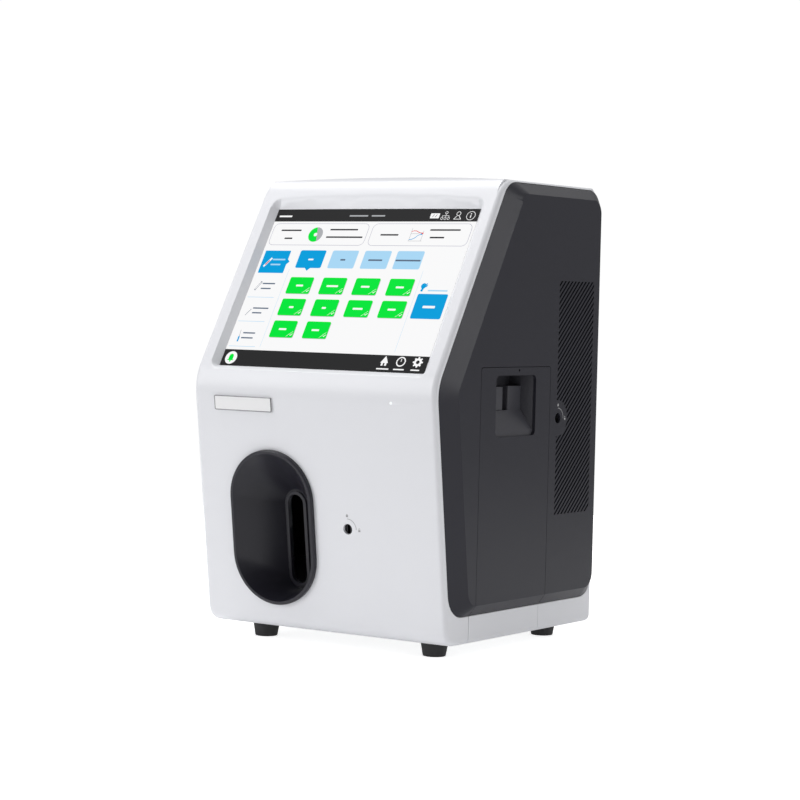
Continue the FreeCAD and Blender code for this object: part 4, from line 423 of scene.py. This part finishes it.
stroke((-98.6, -29.1), (-94.1, -22.7), 0.5, slate, 3)
stroke((-96.5, -43.7), (-96.1, -50.0), 0.5, mid_grey, 3)
stroke((-96.1, -50.0), (-96.1, -55.3), 1.5, strong_blue, 4)
for x in (-69.7, 69.5):
    tile(x - 0.12, -60.0, x + 0.12, 18.0, pale_blue, 2)

# Mode tiles: a row of four, the first one chosen and pointing down at its choices.
mode_low, mode_high, mode_width, corner_round = 19.3, 37.2, 27.3, 1.5
mode_lefts = (-64.3, -30.1, 3.9, 37.3)
mode_words = ((-53.2, -47.8), (-19.2, -14.0), (9.9, 24.3), (37.9, 63.2))
for index, (left, (word_left, word_right)) in enumerate(zip(mode_lefts, mode_words)):
    tile(left, mode_low, left + mode_width, mode_high, pale_blue if index else strong_blue, 2,
         corner_round)
    word(word_left, word_right, 27.9, slate if index else page_white, 3, 1.6)
settle(tile(-2.0, -2.0, 2.0, 2.0, strong_blue, 2), -50.7, 19.3, math.pi / 4)

# Choice tiles: green, four in the two upper rows and two in the last, each with a folded corner
# and a tick.
choice_width, choice_tall, shade_right, shade_low = 25.0, 16.5, 0.4, 0.4
choice_lefts = (-64.5, -29.6, 4.9, 39.6)
choice_words = (((-55.8, -48.4), (-23.4, -11.5), (12.5, 21.1), (48.0, 56.0)),
                ((-54.7, -50.0), (-20.0, -15.8), (12.1, 22.2), (47.7, 55.7)),
                ((-56.7, -48.8), (-22.0, -14.3)))
for high, words in zip((10.0, -11.6, -33.4), choice_words):
    for left, (word_left, word_right) in zip(choice_lefts, words):
        low = high - choice_tall
        right = left + choice_width
        tile(left + 0.3, low - shade_low, right + shade_right, high - shade_low, mid_grey, 2,
             corner_round)
        tile(left, low, right, high, leaf_green, 3, corner_round)
        word(word_left, word_right, high - 8.4, page_white, 4, 1.8)
        stroke((right - 7.2, low + 1.0), (right - 1.2, low + 6.2), 0.3, page_white, 4)
        stroke((right - 3.6, low + 2.9), (right - 2.7, low + 2.1), 0.6, page_white, 4)
        stroke((right - 2.9, low + 2.0), (right - 1.0, low + 4.0), 0.6, page_white, 4)

# Start tile on the right, under a small hand.
tile(72.5, -28.0, 102.4, -4.1, strong_blue, 2, corner_round)
word(81.3, 93.5, -16.6, page_white, 3, 2.3)
hand_x, hand_y = 75.3, 3.5
disc(hand_x, hand_y, 2.6, strong_blue, 3)
stroke((75.6, 2.6), (74.4, -1.8), 2.2, strong_blue, 3)
for reach, rise in ((3.2, 2.4), (3.9, 0.9), (3.7, -0.6)):
    stroke((hand_x, 3.2), (hand_x + reach, hand_y + rise), 0.9, strong_blue, 3)
word(80.8, 100.3, -0.9, pale_blue, 3, 1.3)

# Bottom bar: a bell on a white disc, then a house, a ring and a gear, each over a short word.
bell_x, bell_y = -96.0, -71.3
disc(bell_x, bell_y, 6.2, page_white, 3)
disc(bell_x, bell_y + 1.4, 2.3, leaf_green, 4)
tile(bell_x - 2.3, bell_y - 2.0, bell_x + 2.3, bell_y + 1.4, leaf_green, 4, 0.3)
tile(bell_x - 3.3, bell_y - 2.6, bell_x + 3.3, bell_y - 1.9, leaf_green, 4, 0.2)
disc(bell_x, bell_y - 3.3, 0.8, leaf_green, 4)
house_x = 62.9
disc(house_x, -68.2, 4.4, page_white, 3, 3)
tile(house_x - 2.7, -73.1, house_x + 2.7, -69.9, page_white, 3)
tile(house_x - 0.8, -73.1, house_x + 0.8, -70.6, bar_dark, 4)
ring(79.1, -68.8, 4.6, 1.1, page_white, bar_dark)
stroke((79.1, -68.8), (79.1, -66.2), 0.7, page_white, 5)
gear_x, gear_y, gear_reach = 95.6, -68.7, 4.9
for step in range(4):
    angle = step * math.pi / 4
    reach_x, reach_y = gear_reach * math.cos(angle), gear_reach * math.sin(angle)
    stroke((gear_x - reach_x, gear_y - reach_y), (gear_x + reach_x, gear_y + reach_y), 1.5,
           page_white, 3)
disc(gear_x, gear_y, 3.8, page_white, 4)
disc(gear_x, gear_y, 1.7, bar_dark, 5)
for left, right in ((57.1, 69.3), (73.9, 84.5), (91.0, 99.6)):
    word(left, right, -76.1, page_white, 3, 1.2)

bpy.ops.object.select_all(action="DESELECT")
for patch in patches:
    patch.select_set(True)
bpy.context.view_layer.objects.active = patches[0]
bpy.ops.object.join()
picture = bpy.context.object
picture.name = "screen_picture"
picture.data.transform(screen_place)
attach(picture, "case")


# Screen module and its bracket. A black can with the picture panel, held from behind by a bent
# sheet of zinc coated steel with four screws.
def metal(name, colour, roughness, stretch, grain, shade=0.08):
    """Bare metal: fine lines drawn out along one way, in tone, gloss and bump."""
    material = moulded(name, colour, roughness=roughness, grain=grain, depth=0.06, shade=shade)
    tree = material.node_tree
    surface = tree.nodes["Principled BSDF"]
    surface.inputs["Metallic"].default_value = 1.0
    draw = tree.nodes.new("ShaderNodeMapping")
    draw.inputs["Scale"].default_value = stretch
    tree.links.new(tree.nodes["Texture Coordinate"].outputs["Object"], draw.inputs["Vector"])
    for pattern in ("cloud", "pores"):
        tree.links.new(draw.outputs["Vector"], tree.nodes[pattern].inputs["Vector"])
    return material


def zinc_sheet(name):
    """Zinc coated steel sheet: crystals a few millimetres wide that differ in tone."""
    material = moulded(name, (0.50, 0.52, 0.53), roughness=0.42, grain=60, depth=0.1, shade=0.1)
    tree = material.node_tree
    tree.nodes["Principled BSDF"].inputs["Metallic"].default_value = 1.0
    crystals = tree.nodes.new("ShaderNodeTexVoronoi")
    crystals.inputs["Scale"].default_value = 140
    tree.links.new(tree.nodes["Texture Coordinate"].outputs["Object"], crystals.inputs["Vector"])
    tree.links.new(crystals.outputs["Color"], tree.nodes["tint"].inputs["Factor"])
    return material


zinc = zinc_sheet("zinc_coated_sheet")
screw_metal = metal("plated_screws", (0.50, 0.50, 0.52), roughness=0.30, stretch=(1, 1, 6),
                    grain=300)
module_black = moulded("black_module", (0.012, 0.012, 0.014), roughness=0.30, grain=900, depth=0.05)
finish(module_black, "lcd_module")
finish(zinc, "display_bracket")
dress(screw_metal, "display_screws")


# Circuit boards. Green glass fibre boards with thin copper lines under the varnish, on small
# spacers; black chips and sockets stand on one side. A grey ribbon joins the two boards.
board_thick, spacer_height, blend = 0.0016, 0.005, 0.00005
board_green = (0.010, 0.095, 0.040)


def circuit_board(name, lean_angle, chips_below, axis):
    """A green board, leaning by an angle; what lies below a level along one axis is black."""
    material = moulded(name, board_green, roughness=0.35, grain=700, depth=0.05, shade=0.1)
    tree = material.node_tree
    turned = tree.nodes.new("ShaderNodeMapping")
    turned.inputs["Rotation"].default_value = (lean_angle, 0, 0)
    tree.links.new(tree.nodes["Texture Coordinate"].outputs["Object"], turned.inputs["Vector"])
    traces = tree.nodes.new("ShaderNodeTexBrick")
    traces.inputs["Scale"].default_value = 70
    traces.inputs["Mortar Size"].default_value = 0.012
    traces.inputs["Color1"].default_value = (*board_green, 1)
    traces.inputs["Color2"].default_value = (0.013, 0.110, 0.047, 1)
    traces.inputs["Mortar"].default_value = (0.035, 0.20, 0.09, 1)
    flat = tree.nodes.new("ShaderNodeSeparateXYZ")
    tree.links.new(turned.outputs["Vector"], flat.inputs["Vector"])
    laid = tree.nodes.new("ShaderNodeCombineXYZ")
    across_axis = "Y" if axis == "X" else "X"
    along_axis = "Z" if axis == "X" else "Y"
    tree.links.new(flat.outputs[across_axis], laid.inputs["X"])
    tree.links.new(flat.outputs[along_axis], laid.inputs["Y"])
    tree.links.new(laid.outputs["Vector"], traces.inputs["Vector"])
    beyond = tree.nodes.new("ShaderNodeMapRange")
    beyond.inputs["From Min"].default_value = chips_below - blend
    beyond.inputs["From Max"].default_value = chips_below
    tree.links.new(flat.outputs[axis], beyond.inputs["Value"])
    parts = tree.nodes.new("ShaderNodeMix")
    parts.data_type = "RGBA"
    parts.inputs["A"].default_value = (0.012, 0.012, 0.013, 1)
    tree.links.new(beyond.outputs["Result"], parts.inputs["Factor"])
    tree.links.new(traces.outputs["Color"], parts.inputs["B"])
    tree.links.new(parts.outputs["Result"], tree.nodes["Principled BSDF"].inputs["Base Color"])
    return material


main_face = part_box("main_board")[1][0] - board_thick
main_green = circuit_board("main_board_green", lean_angle=0, chips_below=main_face, axis="X")
driver_reach = max(vertex.co.dot(screen_out) for vertex in nodes["display_board"].data.vertices)
driver_face = driver_reach - spacer_height - board_thick
driver_green = circuit_board("driver_board_green", lean_angle=slope - math.pi / 2,
                             chips_below=driver_face, axis="Z")
finish(main_green, "main_board")
finish(driver_green, "display_board")
dress(screw_metal, "board_spacers")
ribbon_grey = moulded("grey_ribbon", (0.36, 0.37, 0.39), roughness=0.5, grain=900, depth=0.2,
                      shade=0.06)
finish(ribbon_grey, "screen_cable")


# Badge plate. A plain white plate, left blank, in a fine rolled rim of satin metal; it is stuck
# in place near the top of the leaning front.
lean = math.radians(7.5)
face_out = Vector((0, -math.cos(lean), -math.sin(lean)))
face_up = Vector((0, -math.sin(lean), math.cos(lean)))
badge_points = [vertex.co for vertex in nodes["badge_plate"].data.vertices]
badge_levels = [point.dot(face_out) for point in badge_points]
badge_heights = [point.dot(face_up) for point in badge_points]
badge_left, badge_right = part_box("badge_plate")[0][0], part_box("badge_plate")[1][0]
badge_low, badge_high = min(badge_heights), max(badge_heights)
rim_radius, rim_corner = 0.00045, 0.0009


def on_face(x, height, level):
    """Matrix that lays a flat drawing on the leaning front, at this place and distance out."""
    place = face_up * height + face_out * level
    return Matrix((
        (1, 0, 0, x),
        (0, face_up.y, face_out.y, place.y),
        (0, face_up.z, face_out.z, place.z),
        (0, 0, 0, 1)))


badge_white = moulded("blank_white_plate", (0.82, 0.82, 0.83), roughness=0.25, grain=1200,
                      depth=0.03, shade=0.01)
dress(badge_white, "badge_plate")
bpy.ops.object.select_all(action="DESELECT")
bpy.ops.mesh.primitive_plane_add(size=1)
rim = bpy.context.object
rim.name = "badge_rim"
rim.scale = (badge_right - badge_left - rim_radius, badge_high - badge_low - rim_radius, 1)
bpy.ops.object.transform_apply()
bpy.ops.object.mode_set(mode="EDIT")
bpy.ops.mesh.bevel(offset=rim_corner, segments=4, affect="VERTICES")
bpy.ops.mesh.delete(type="ONLY_FACE")
bpy.ops.object.mode_set(mode="OBJECT")
bpy.ops.object.convert(target="CURVE")
rim.data.bevel_depth = rim_radius
rim.data.bevel_resolution = 3
bpy.ops.object.convert(target="MESH")
rim = bpy.context.object
bpy.ops.object.shade_smooth()
rim.data.transform(on_face((badge_left + badge_right) / 2, (badge_high + badge_low) / 2,
                           max(badge_levels) - rim_radius / 2))
rim_metal = metal("rolled_metal_rim", (0.20, 0.20, 0.21), roughness=0.30, stretch=(1, 1, 1),
                  grain=400, shade=0.03)
rim.data.materials.append(rim_metal)
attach(rim, "case")


# Status light. A small clear pin in the front, which glows white.
finish(lit("status_lens", (0.95, 0.98, 1.0), 1.1), "status_light")


# Sampling bowl. A dark satin funnel moulded in one with its proud lip and the rim round the
# probe's slot; a tab behind it is held by the front lock.
bowl_dark = moulded("dark_bowl_moulding", (0.0185, 0.0180, 0.0255), roughness=0.28, grain=2200,
                    depth=0.05, shade=0.05, shine=0.36, spread=0.015)
dress(bowl_dark, "sampling_bowl", sharp=24)


# Sample probe. An anodised arm on a small enamelled motor swings a polished steel needle out
# through the slot; a soft tube leads from its hub to the measuring block.
anodised = metal("anodised_aluminium", (0.60, 0.61, 0.64), roughness=0.36, stretch=(1, 1, 8),
                 grain=260, shade=0.05)
polished = metal("polished_steel", (0.66, 0.67, 0.69), roughness=0.15, stretch=(1, 1, 6), grain=300,
                 shade=0.03)
motor_enamel = moulded("enamelled_motor", (0.030, 0.030, 0.034), roughness=0.34, grain=900,
                       depth=0.08, shade=0.1)
silicone = moulded("silicone_tube", (0.60, 0.62, 0.62), roughness=0.36, grain=500, depth=0.05,
                   shade=0.04)
silicone_surface = silicone.node_tree.nodes["Principled BSDF"]
silicone_surface.inputs["Subsurface Weight"].default_value = 0.3
silicone_surface.inputs["Subsurface Scale"].default_value = 0.001
dress(anodised, "probe_arm")
dress(polished, "sample_needle")
dress(motor_enamel, "probe_motor")
dress(silicone, "sample_tube")
finish(zinc, "probe_bracket")


# Locks. A black plated barrel with a coin slot sits sunk in each wall, in a sleeve behind it; a
# printed quarter circle shows the turn, with a small open and a small shut padlock at its ends.
black_plate = metal("black_plated_lock", (0.030, 0.030, 0.032), roughness=0.32, stretch=(1, 1, 1),
                    grain=400, shade=0.08)
dress(black_plate, "front_lock", "side_lock", "front_lock_sleeve", "side_lock_sleeve")
arc_radius, arc_width, mark_radius = 0.0088, 0.0005, 0.0118
block_wide, block_tall, block_drop = 0.0022, 0.0016, 0.0007
shackle_radius, shackle_width, shut_lift, open_lift = 0.0007, 0.0004, 0.0001, 0.0006
print_height = 0.00004


def part_ring(x, y, radius, width, cuts):
    """A flat ring, drawn as one circle pulled in from another, less what the cuts take away."""
    bpy.ops.mesh.primitive_circle_add(vertices=48, radius=radius + width / 2, fill_type="NOTHING")
    band = bpy.context.object
    bpy.ops.object.mode_set(mode="EDIT")
    bpy.ops.mesh.select_all(action="SELECT")
    bpy.ops.mesh.extrude_edges_move()
    inward = (radius - width / 2) / (radius + width / 2)
    bpy.ops.transform.resize(value=(inward, inward, 1), center_override=(0, 0, 0))
    for away in cuts:
        bpy.ops.mesh.select_all(action="SELECT")
        bpy.ops.mesh.bisect(plane_co=(0, 0, 0), plane_no=away, clear_outer=True)
    bpy.ops.mesh.select_all(action="SELECT")
    bpy.ops.mesh.normals_make_consistent(inside=False)
    bpy.ops.object.mode_set(mode="OBJECT")
    band.data.transform(Matrix.Translation((x, y, 0)))
    return band


def padlock(x, y, shackle_lift):
    """A small padlock: a block and a half ring over it, lifted when open."""
    bpy.ops.mesh.primitive_plane_add(size=1, location=(x, y - block_drop, 0))
    block = bpy.context.object
    block.scale = (block_wide, block_tall, 1)
    bpy.ops.object.transform_apply()
    return [block, part_ring(x, y + shackle_lift, shackle_radius, shackle_width, ((0, -1, 0),))]


def lock_marks(name, place, body, material):
    """The printed quarter circle and its two padlocks, as one thin piece on the wall."""
    bpy.ops.object.select_all(action="DESELECT")
    marks = [part_ring(0, 0, arc_radius, arc_width, ((-1, 0, 0), (0, -1, 0)))]
    marks += padlock(0, mark_radius, shut_lift) + padlock(mark_radius, 0, open_lift)
    for mark in marks:
        mark.select_set(True)
    bpy.context.view_layer.objects.active = marks[0]
    bpy.ops.object.join()
    printed = bpy.context.object
    printed.name = name
    printed.data.transform(place)
    printed.data.materials.append(material)
    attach(printed, body)
    return printed


def middle(node):
    """The middle of a CAD node's box."""
    low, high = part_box(node)
    return (Vector(low) + Vector(high)) / 2


grey_print = moulded("grey_print", (0.30, 0.30, 0.31), roughness=0.6, grain=1500, depth=0.05,
                     shade=0.05)
pale_print = moulded("pale_print", (0.42, 0.42, 0.43), roughness=0.6, grain=1500, depth=0.05,
                     shade=0.05)
front_lock_spot = middle("front_lock_sleeve")
front_place = on_face(front_lock_spot.x, front_lock_spot.dot(face_up),
                      min(badge_levels) + print_height)
lock_marks("front_lock_marks", front_place, "case", grey_print)
side_lock_spot = middle("side_lock_sleeve")
side_place = Matrix((
    (0, 0, 1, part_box("right_panel")[1][0] + print_height),
    (1, 0, 0, side_lock_spot.y),
    (0, 1, 0, side_lock_spot.z),
    (0, 0, 0, 1)))
lock_marks("side_lock_marks", side_place, "case", pale_print)


# Base. A bent pan of zinc coated sheet closes the case from below, on four black rubber feet that
# taper downwards; a screw sunk in each foot holds it.
rubber = moulded("black_rubber", (0.036, 0.036, 0.038), roughness=0.60, grain=700, depth=0.2,
                 shade=0.08, shine=0.35)
finish(zinc, "base_pan")
dress(rubber, "rubber_feet")
dress(screw_metal, "foot_screws", "cover_screws")


# Frame inside. The upright bulkhead and the top rail are zinc coated sheet; the pack slides on
# two white low-friction runners.
runner_white = moulded("white_runners", (0.70, 0.70, 0.68), roughness=0.40, grain=900, depth=0.06,
                       shade=0.03)
finish(zinc, "bulkhead", "top_rail")
finish(runner_white, "pack_rails")


# Reagent pack's body. A pale grey moulded case with an end cap, a shelf inside and a blue coupler
# at the end that meets the needles.
pack_grey = moulded("pale_grey_moulding", (0.48, 0.50, 0.52), roughness=0.45, grain=1500,
                    depth=0.08, shade=0.03)
coupler_blue = moulded("blue_coupler", (0.02, 0.09, 0.32), roughness=0.40, grain=900, depth=0.05,
                       shade=0.05)
dress(pack_grey, "pack_case", "pack_end_cap")
finish(pack_grey, "bag_tray")
finish(coupler_blue, "pack_coupler")


# Bags in the pack. Film pouches, welded all round and filled: four of reagent stand side by side
# on the shelf and a wide one for the waste lies below it.
bag_film = moulded("bag_film", (0.62, 0.68, 0.72), roughness=0.20, grain=90, depth=0.5, shade=0.06)
bag_count, bag_spacing = 4, 0.002
weld_share, weld_zone, fullness = 0.06, 0.42, 0.6
pucker_depth, pucker_across, pucker_along = 0.03, 47, 39


def pouch(name, low, high, thin_axis):
    """A pillow in its box: a divided block, drawn thin to a weld all round its rim."""
    size = [top - bottom for bottom, top in zip(low, high)]
    centre = [(bottom + top) / 2 for bottom, top in zip(low, high)]
    bpy.ops.object.select_all(action="DESELECT")
    bpy.ops.mesh.primitive_cube_add(size=1)
    bag = bpy.context.object
    bag.name = name
    bpy.ops.object.mode_set(mode="EDIT")
    bpy.ops.mesh.subdivide(number_cuts=23)
    bpy.ops.object.mode_set(mode="OBJECT")
    others = [axis for axis in range(3) if axis != thin_axis]
    for vertex in bag.data.vertices:
        inward = [min(1, (1 - abs(2 * vertex.co[axis])) / weld_zone) for axis in others]
        swell = math.prod(math.sin(share * math.pi / 2) ** fullness for share in inward)
        pucker = (pucker_depth * math.sin(pucker_across * vertex.co[others[0]])
                  * math.sin(pucker_along * vertex.co[others[1]]) * (1 - swell))
        vertex.co[thin_axis] *= max(weld_share, swell * (1 - pucker_depth + pucker))
    for axis in range(3):
        for vertex in bag.data.vertices:
            vertex.co[axis] = centre[axis] + vertex.co[axis] * size[axis]
    bpy.ops.object.shade_smooth()
    bag.data.materials.append(bag_film)
    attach(bag, "pack")
    return bag


bags_low, bags_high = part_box("reagent_bags")
bag_thick = (bags_high[1] - bags_low[1] - bag_spacing * (bag_count - 1)) / bag_count
bag_bodies = []
for index in range(bag_count):
    bag_y = bags_low[1] + index * (bag_thick + bag_spacing)
    bag_bodies.append(pouch("reagent_bag_%d" % (index + 1), (bags_low[0], bag_y, bags_low[2]),
                            (bags_high[0], bag_y + bag_thick, bags_high[2]), 1))
for bag in bag_bodies:
    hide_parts("reagent_bags")
waste = pouch("waste_pouch", *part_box("waste_bag"), 2)
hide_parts("waste_bag")


# Needles for the fluids. Polished steel tubes, fixed in a machined plate on the bulkhead, enter
# the pack's coupler.
dress(polished, "fluid_needles")


# Measuring block. Machined aluminium, kept warm, on four posts; the cream card with its round
# gold sensors lies in its pocket behind a clear cover.
sensor_top, sensor_rise, sensor_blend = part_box("sensor_card")[0][0], 0.001, 0.0001
card_cream = moulded("cream_card_gold_sensors", (0.62, 0.58, 0.46), roughness=0.35, grain=800,
                     depth=0.05, shade=0.04)
card_tree = card_cream.node_tree
card_split = card_tree.nodes.new("ShaderNodeSeparateXYZ")
card_place = card_tree.nodes["Texture Coordinate"]
card_tree.links.new(card_place.outputs["Object"], card_split.inputs["Vector"])
sensor_edge = card_tree.nodes.new("ShaderNodeMapRange")
sensor_edge.inputs["From Min"].default_value = sensor_top + sensor_rise - sensor_blend
sensor_edge.inputs["From Max"].default_value = sensor_top + sensor_rise + sensor_blend
card_tree.links.new(card_split.outputs["X"], sensor_edge.inputs["Value"])
card_tint = card_tree.nodes.new("ShaderNodeMix")
card_tint.data_type = "RGBA"
card_tint.inputs["A"].default_value = (0.55, 0.36, 0.10, 1)
card_tree.links.new(sensor_edge.outputs["Result"], card_tint.inputs["Factor"])
card_tree.links.new(card_tree.nodes["tint"].outputs["Result"], card_tint.inputs["B"])
card_surface = card_tree.nodes["Principled BSDF"]
card_tree.links.new(card_tint.outputs["Result"], card_surface.inputs["Base Color"])
clear_cover = moulded("clear_cover", (0.80, 0.84, 0.86), roughness=0.10, grain=60, depth=0.0,
                      shade=0.01)
clear_cover.node_tree.nodes["Principled BSDF"].inputs["Alpha"].default_value = 0.25
dress(anodised, "measuring_block")
dress(card_cream, "sensor_card")
finish(clear_cover, "sensor_cover")


# Pump. A grey head with a white rotor whose rollers press the soft tube against the bore; its
# motor is bolted to the bulkhead behind it.
rotor_white = moulded("white_rotor", (0.70, 0.70, 0.68), roughness=0.38, grain=900, depth=0.06,
                      shade=0.03)
roller_grey = moulded("grey_rollers", (0.30, 0.31, 0.33), roughness=0.35, grain=900, depth=0.06,
                      shade=0.03)
dress(pack_grey, "pump_head")
dress(motor_enamel, "pump_motor")
dress(rotor_white, "pump_rotor")
dress(roller_grey, "pump_rollers")
dress(silicone, "pump_tube")


# Valves. Three enamelled coils in a row, on an aluminium plate on the bulkhead.
dress(motor_enamel, "solenoid_valves")
finish(anodised, "valve_plate")


# Power supply. A slotted can of brushed aluminium on the base pan.
dress(anodised, "power_supply")


# Rear panel's fittings. The inlet and the block of data jacks are black mouldings, with brass
# pins in the inlet and a plated frame round each jack; the rocker is glossy black.
black_part = moulded("black_moulding", (0.014, 0.014, 0.015), roughness=0.42, grain=1300,
                     depth=0.08, shade=0.05)
rocker_gloss = moulded("glossy_rocker", (0.010, 0.010, 0.011), roughness=0.14, grain=1300,
                       depth=0.02, shade=0.03)
brass = metal("plated_brass_pins", (0.62, 0.52, 0.30), roughness=0.25, stretch=(1, 6, 1), grain=300,
              shade=0.04)
nickel = metal("nickel_plated_frames", (0.55, 0.54, 0.52), roughness=0.28, stretch=(1, 1, 1),
               grain=400, shade=0.04)
dress(black_part, "power_inlet", "data_ports", sharp=14)
dress(rocker_gloss, "power_switch")
inlet_low, inlet_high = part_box("power_inlet")
pin_wide, pin_deep, pin_tall, pin_pitch, pin_sunk = 0.0022, 0.0130, 0.0042, 0.007, 0.0021
well_shift = 0.007
well_x = (inlet_low[0] + inlet_high[0]) / 2 - well_shift
inlet_middle_z = (inlet_low[2] + inlet_high[2]) / 2
jacks_low, jacks_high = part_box("data_ports")
jack_middle_x = (jacks_low[0] + jacks_high[0]) / 2
jack_middle_z = (jacks_low[2] + jacks_high[2]) / 2
jack_pitch, jack_wide, jack_tall, jack_play = 0.020, 0.014, 0.011, 0.0001
frame_deep, frame_wall, frame_proud, sleeve_edge = 0.008, 0.0004, 0.0002, 0.00012


def sleeve(name, x, z, front, width, height, depth, wall, material):
    """A four-sided sheet sleeve, open at both ends, or a closed pin where the wall is 0."""
    bpy.ops.object.select_all(action="DESELECT")
    bpy.ops.mesh.primitive_cube_add(size=1, location=(x, front - depth / 2, z))
    part = bpy.context.object
    part.name = name
    part.scale = (width, depth, height)
    bpy.ops.object.transform_apply()
    if wall:
        bpy.ops.object.mode_set(mode="EDIT")
        bpy.ops.mesh.select_mode(type="FACE")
        bpy.ops.mesh.select_all(action="DESELECT")
        bpy.ops.object.mode_set(mode="OBJECT")
        for face in part.data.polygons:
            face.select = abs(face.normal.y) > 0.9
        bpy.ops.object.mode_set(mode="EDIT")
        bpy.ops.mesh.delete(type="FACE")
        bpy.ops.object.mode_set(mode="OBJECT")
        modify(part, "SOLIDIFY", thickness=wall, offset=-1)
    modify(part, "BEVEL", width=sleeve_edge, segments=2)
    part.data.materials.append(material)
    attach(part, "case")
    return part


for index in range(3):
    pin = sleeve("inlet_pin_%d" % (index + 1), x=well_x + (index - 1) * pin_pitch, z=inlet_middle_z,
                 front=inlet_high[1] - pin_sunk, width=pin_wide, height=pin_tall, depth=pin_deep,
                 wall=0, material=brass)
    liner = sleeve("jack_frame_%d" % (index + 1), x=jack_middle_x + (index - 1) * jack_pitch,
                   z=jack_middle_z, front=jacks_high[1] + frame_proud, width=jack_wide - jack_play,
                   height=jack_tall - jack_play, depth=frame_deep, wall=frame_wall, material=nickel)


# Fans. Two black framed fans with seven blades each, seated in a shroud behind the right panel's
# slots.
dress(black_part, "fan_shroud", "fan_frames", "fan_rotor_lower", "fan_rotor_upper")
